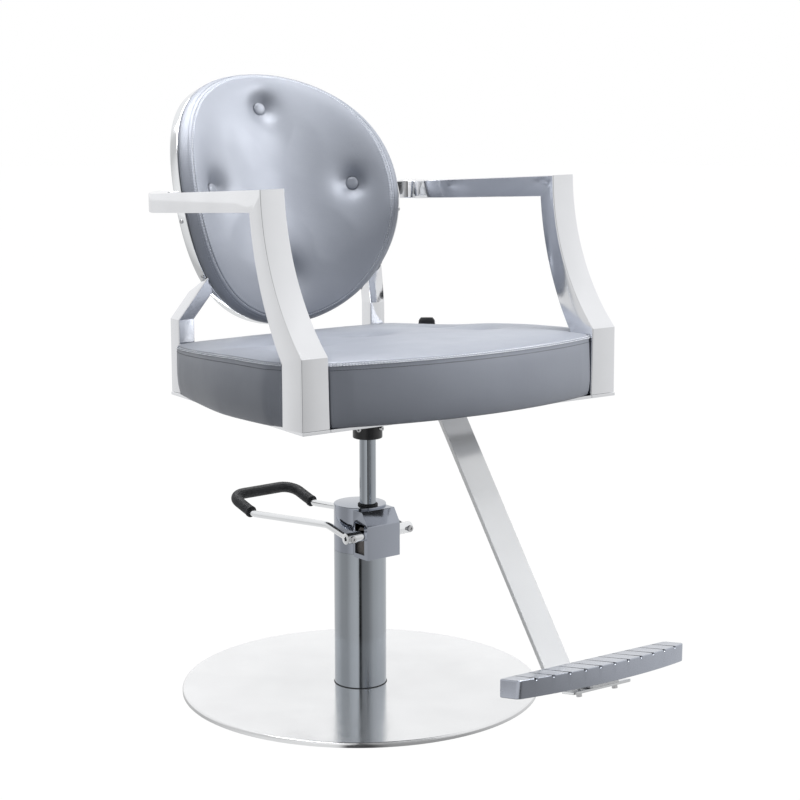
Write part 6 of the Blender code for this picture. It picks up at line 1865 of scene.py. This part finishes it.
def make_lock_lever():
    """The bent rod with its eye under the seat, and the grip on its raised end."""
    eye_top = frame_plane_z(LOCK_PIVOT[1]) - SWIVEL_PLATE_H - LOCK_DROP
    rod_z = eye_top - 0.5 * LOCK_EYE_H
    reach = Vector((LOCK_TIP[0] - LOCK_PIVOT[0], LOCK_TIP[1] - LOCK_PIVOT[1], 0.0))
    along = reach.normalized()
    low_z = frame_plane_z(LOCK_TIP[1]) - 2 * LOCK_ROD_R - LOCK_UNDER
    grip_low = LOCK_GRIP_TOP_Z - LOCK_GRIP_H
    start = along * (LOCK_EYE_R - 0.002)
    corners = [
        (start.x, start.y, rod_z),
        (along.x * LOCK_STRAIGHT, along.y * LOCK_STRAIGHT, rod_z),
        (reach.x * 0.5, reach.y * 0.5, low_z),
        (reach.x, reach.y, low_z),
        (reach.x, reach.y, grip_low - GAP),
    ]
    place = SEAT @ Matrix.Translation((*LOCK_PIVOT, 0.0))
    rod = helper("rod", loft(tube_rings(rounded(corners, [LOCK_BEND_R] * 3, 12), LOCK_ROD_R, 24)))
    rod = combine(rod, "UNION", helper("eye", disc(LOCK_EYE_R, eye_top - LOCK_EYE_H, eye_top, 48)))
    hole = disc(LOCK_EYE_HOLE_R, eye_top - 2 * LOCK_EYE_H, eye_top + CUT_PAST, 32)
    rod = combine(rod, "DIFFERENCE", helper("eye_hole", hole))
    mesh = mesh_only(rod, 40)
    mesh.transform(place)
    add_piece("lock_rod", mesh, ZINC, "lock_lever", ["lock_lever"])

    mesh = finished_mesh("lock_knob", loft(knob_rings(reach, grip_low)), place, 50)
    add_piece("lock_knob", mesh, BLACK_PLASTIC, "lock_lever", ["lock_grip"])


# ---------------------------------------------------------------- carried pieces

# Hidden pieces keep the shape of their CAD solids
CARRIED = (
    (RUBBER, ("floor_pad",)),
    (BLACK_STEEL, ("base_plate", "swivel_plate", "cross_rail_front", "cross_rail_rear")),
    (ZINC, ("base_bolt_1", "base_bolt_2", "base_bolt_3", "base_bolt_4", "cylinder_liner", "lock_pivot_pin")),
    (ZINC, ("plunger_barrel", "plunger_spring", "pump_plunger", "piston_head")),
    (CAST, ("pump_bottom", "pump_head", "rocker_fork")),
    (PLYWOOD, ("back_board", "seat_board")),
)


def dress_carried():
    """Gives the hidden CAD solids their finishes."""
    for finish, nodes in CARRIED:
        for node in nodes:
            obj = frame["nodes"][node]
            dress(obj, finish)


# ---------------------------------------------------------------- studio


CAMERA_PLACE = (-1.7349, -2.6493, 1.0805)
CAMERA_TILT = math.radians(79.4955)
CAMERA_TURN = math.radians(-34.4277)
CAMERA_LENS = 87.8
CAMERA_SENSOR = 36.0
CHAIR_MIDDLE = (0.0, 0.0, 0.7)

# What polished metal mirrors round the chair, by turn from the back over the left to the right:
# (turn, brightness), where 0.5 is straight behind the camera
MIRRORED = (
    (0.0, 1.0),
    (0.19, 0.92),
    (0.26, 0.66),
    (0.34, 0.62),
    (0.40, 0.90),
    (0.455, 1.0),
    (0.483, 0.95),
    (0.492, 0.05),
    (0.512, 0.03),
    (0.53, 0.34),
    (0.60, 0.42),
    (0.67, 0.78),
    (0.76, 0.95),
    (1.0, 1.0),
)
FLOOR_R = 14.0
FLOOR_GREY = 0.18
# The share of the floor's own shading that the camera sees over plain white
FLOOR_SHADE = 0.02


class Surroundings:
    """Shader nodes that the floor and the world share: how bright the studio is in each direction."""

    def __init__(self, tree):
        self.tree = tree
        self.nodes = tree.nodes
        self.links = tree.links
        self.path = self.nodes.new("ShaderNodeLightPath").outputs

    def math(self, operation, *values):
        return math_node(self.tree, operation, *values)

    def brightness(self, source):
        """A ramp round the vertical axis, turned so that its middle lies behind the camera."""
        coordinates = self.nodes.new("ShaderNodeTexCoord")
        parts = self.nodes.new("ShaderNodeSeparateXYZ")
        self.links.new(coordinates.outputs[source], parts.inputs["Vector"])
        x, y = parts.outputs["X"], parts.outputs["Y"]
        across = Vector((math.cos(CAMERA_TURN), math.sin(CAMERA_TURN)))
        side = self.math("ADD", self.math("MULTIPLY", x, across.x), self.math("MULTIPLY", y, across.y))
        front = self.math("ADD", self.math("MULTIPLY", x, across.y), self.math("MULTIPLY", y, -across.x))
        turn = self.math("ARCTAN2", side, front)
        share = self.math("ADD", self.math("MULTIPLY", turn, 0.5 / math.pi), 0.5)
        ramp = self.nodes.new("ShaderNodeValToRGB")
        fill_ramp(ramp, [(place, (level, level, level)) for place, level in MIRRORED])
        self.links.new(share, ramp.inputs["Fac"])
        return ramp.outputs["Color"]

    def mix(self, share, first, second):
        blend = self.nodes.new("ShaderNodeMixShader")
        set_socket(self.tree, blend.inputs["Fac"], share)
        self.links.new(first, blend.inputs[1])
        self.links.new(second, blend.inputs[2])
        return blend.outputs["Shader"]

    def glow(self, kind, strength, colour=None):
        made = self.nodes.new(kind)
        made.inputs["Strength"].default_value = strength
        if colour is not None:
            self.links.new(colour, made.inputs["Color"])
        return made.outputs[0]


def make_stage():
    """A white sweep: plain white to the camera, the studio's brightness to the metal."""
    bm = bmesh.new()
    bmesh.ops.create_circle(bm, cap_ends=True, segments=96, radius=FLOOR_R)
    mesh = bpy.data.meshes.new("studio_floor")
    bm.to_mesh(mesh)
    bm.free()
    floor = bpy.data.objects.new("studio_floor", mesh)
    bpy.context.scene.collection.objects.link(floor)
    paper = Finish("studio_paper", "none", (FLOOR_GREY,) * 3, 0.0, 0.9)
    dress(floor, paper)
    paper.shader.inputs["Specular IOR Level"].default_value = 0.0
    lit = Surroundings(paper.material.node_tree)
    bright = paper.nodes.new("ShaderNodeBsdfDiffuse")
    bright.inputs["Color"].default_value = (0.95, 0.95, 0.95, 1.0)
    white = lit.glow("ShaderNodeEmission", 1.02)
    seen = lit.mix(FLOOR_SHADE, white, bright.outputs[0])
    mirrored = lit.glow("ShaderNodeEmission", 0.85, lit.brightness("Object"))
    shown = lit.mix(lit.path["Is Camera Ray"], paper.shader.outputs[0], seen)
    shown = lit.mix(lit.path["Is Glossy Ray"], shown, mirrored)
    paper.links.new(shown, paper.nodes["Material Output"].inputs["Surface"])


def make_world():
    """Weak cool light on everything, white behind the chair and the studio's brightness in the metal."""
    world = bpy.data.worlds.new("studio")
    bpy.context.scene.world = world
    world.use_nodes = True
    world.node_tree.nodes.clear()
    lit = Surroundings(world.node_tree)
    dim = lit.glow("ShaderNodeBackground", 0.20)
    white = lit.glow("ShaderNodeBackground", 1.0)
    white.node.inputs["Color"].default_value = (1.0, 1.0, 1.0, 1.0)
    dim.node.inputs["Color"].default_value = (0.84, 0.92, 1.0, 1.0)
    mirrored = lit.glow("ShaderNodeBackground", 1.0, lit.brightness("Generated"))
    plain = lit.math("MAXIMUM", lit.path["Is Camera Ray"], lit.path["Is Transmission Ray"])
    shown = lit.mix(plain, dim, white)
    shown = lit.mix(lit.path["Is Glossy Ray"], shown, mirrored)
    out = lit.nodes.new("ShaderNodeOutputWorld")
    lit.links.new(shown, out.inputs["Surface"])


def softbox(name, place, size, power, only=None, mirrored=True):
    """A rectangular lamp; with a list of finishes it lights only the pieces that wear them."""
    data = bpy.data.lights.new(name, "AREA")
    data.shape = "RECTANGLE"
    data.size, data.size_y = size
    data.energy = power
    lamp = bpy.data.objects.new(name, data)
    lamp.location = place
    lamp.visible_glossy = mirrored
    lamp.rotation_mode = "QUATERNION"
    lamp.rotation_quaternion = (Vector(CHAIR_MIDDLE) - Vector(place)).to_track_quat("-Z", "Y")
    bpy.context.scene.collection.objects.link(lamp)
    if only is not None:
        lit = bpy.data.collections.new(name + "_pieces")
        worn = {finish.material.name for finish in only}
        for obj in bpy.context.scene.objects:
            if obj.type == "MESH" and obj.data.materials and obj.data.materials[0].name in worn:
                lit.objects.link(obj)
        lamp.light_linking.receiver_collection = lit


def make_lights():
    """Four softboxes; the key one is for the upholstery alone, and metal doesn't mirror the lower two."""
    softbox("key_softbox", (2.7, -2.1, 2.8), (2.6, 1.6), 122, only=(LEATHER, THREAD, DARK_THREAD))
    softbox("front_softbox", (1.6, -3.0, 2.2), (3.0, 2.4), 44, mirrored=False)
    softbox("side_softbox", (-2.8, -1.3, 2.0), (1.0, 1.6), 9, mirrored=False)
    softbox("top_softbox", (0.0, 0.4, 2.9), (1.8, 1.8), 84)


def make_camera():
    """The photograph's viewpoint."""
    data = bpy.data.cameras.new("photo_camera")
    data.sensor_width = CAMERA_SENSOR
    data.lens = CAMERA_LENS
    camera = bpy.data.objects.new("photo_camera", data)
    camera.location = CAMERA_PLACE
    camera.rotation_euler = (CAMERA_TILT, 0.0, CAMERA_TURN)
    bpy.context.scene.collection.objects.link(camera)
    bpy.context.scene.camera = camera


# ---------------------------------------------------------------- assembly

bpy.context.scene.view_settings.view_transform = "Standard"
make_camera()
make_world()
make_stage()
dress_carried()
make_base()
make_piston()
make_pump_cover()
make_cross_shaft()
make_foot_lever()
make_seat_frame()
make_swivel_collar()
make_arms_and_legs()
make_back_ring()
make_rear_panel()
make_back_cushion()
make_buttons()
make_seat_cushion()
make_footrest()
make_lock_lever()
make_lights()
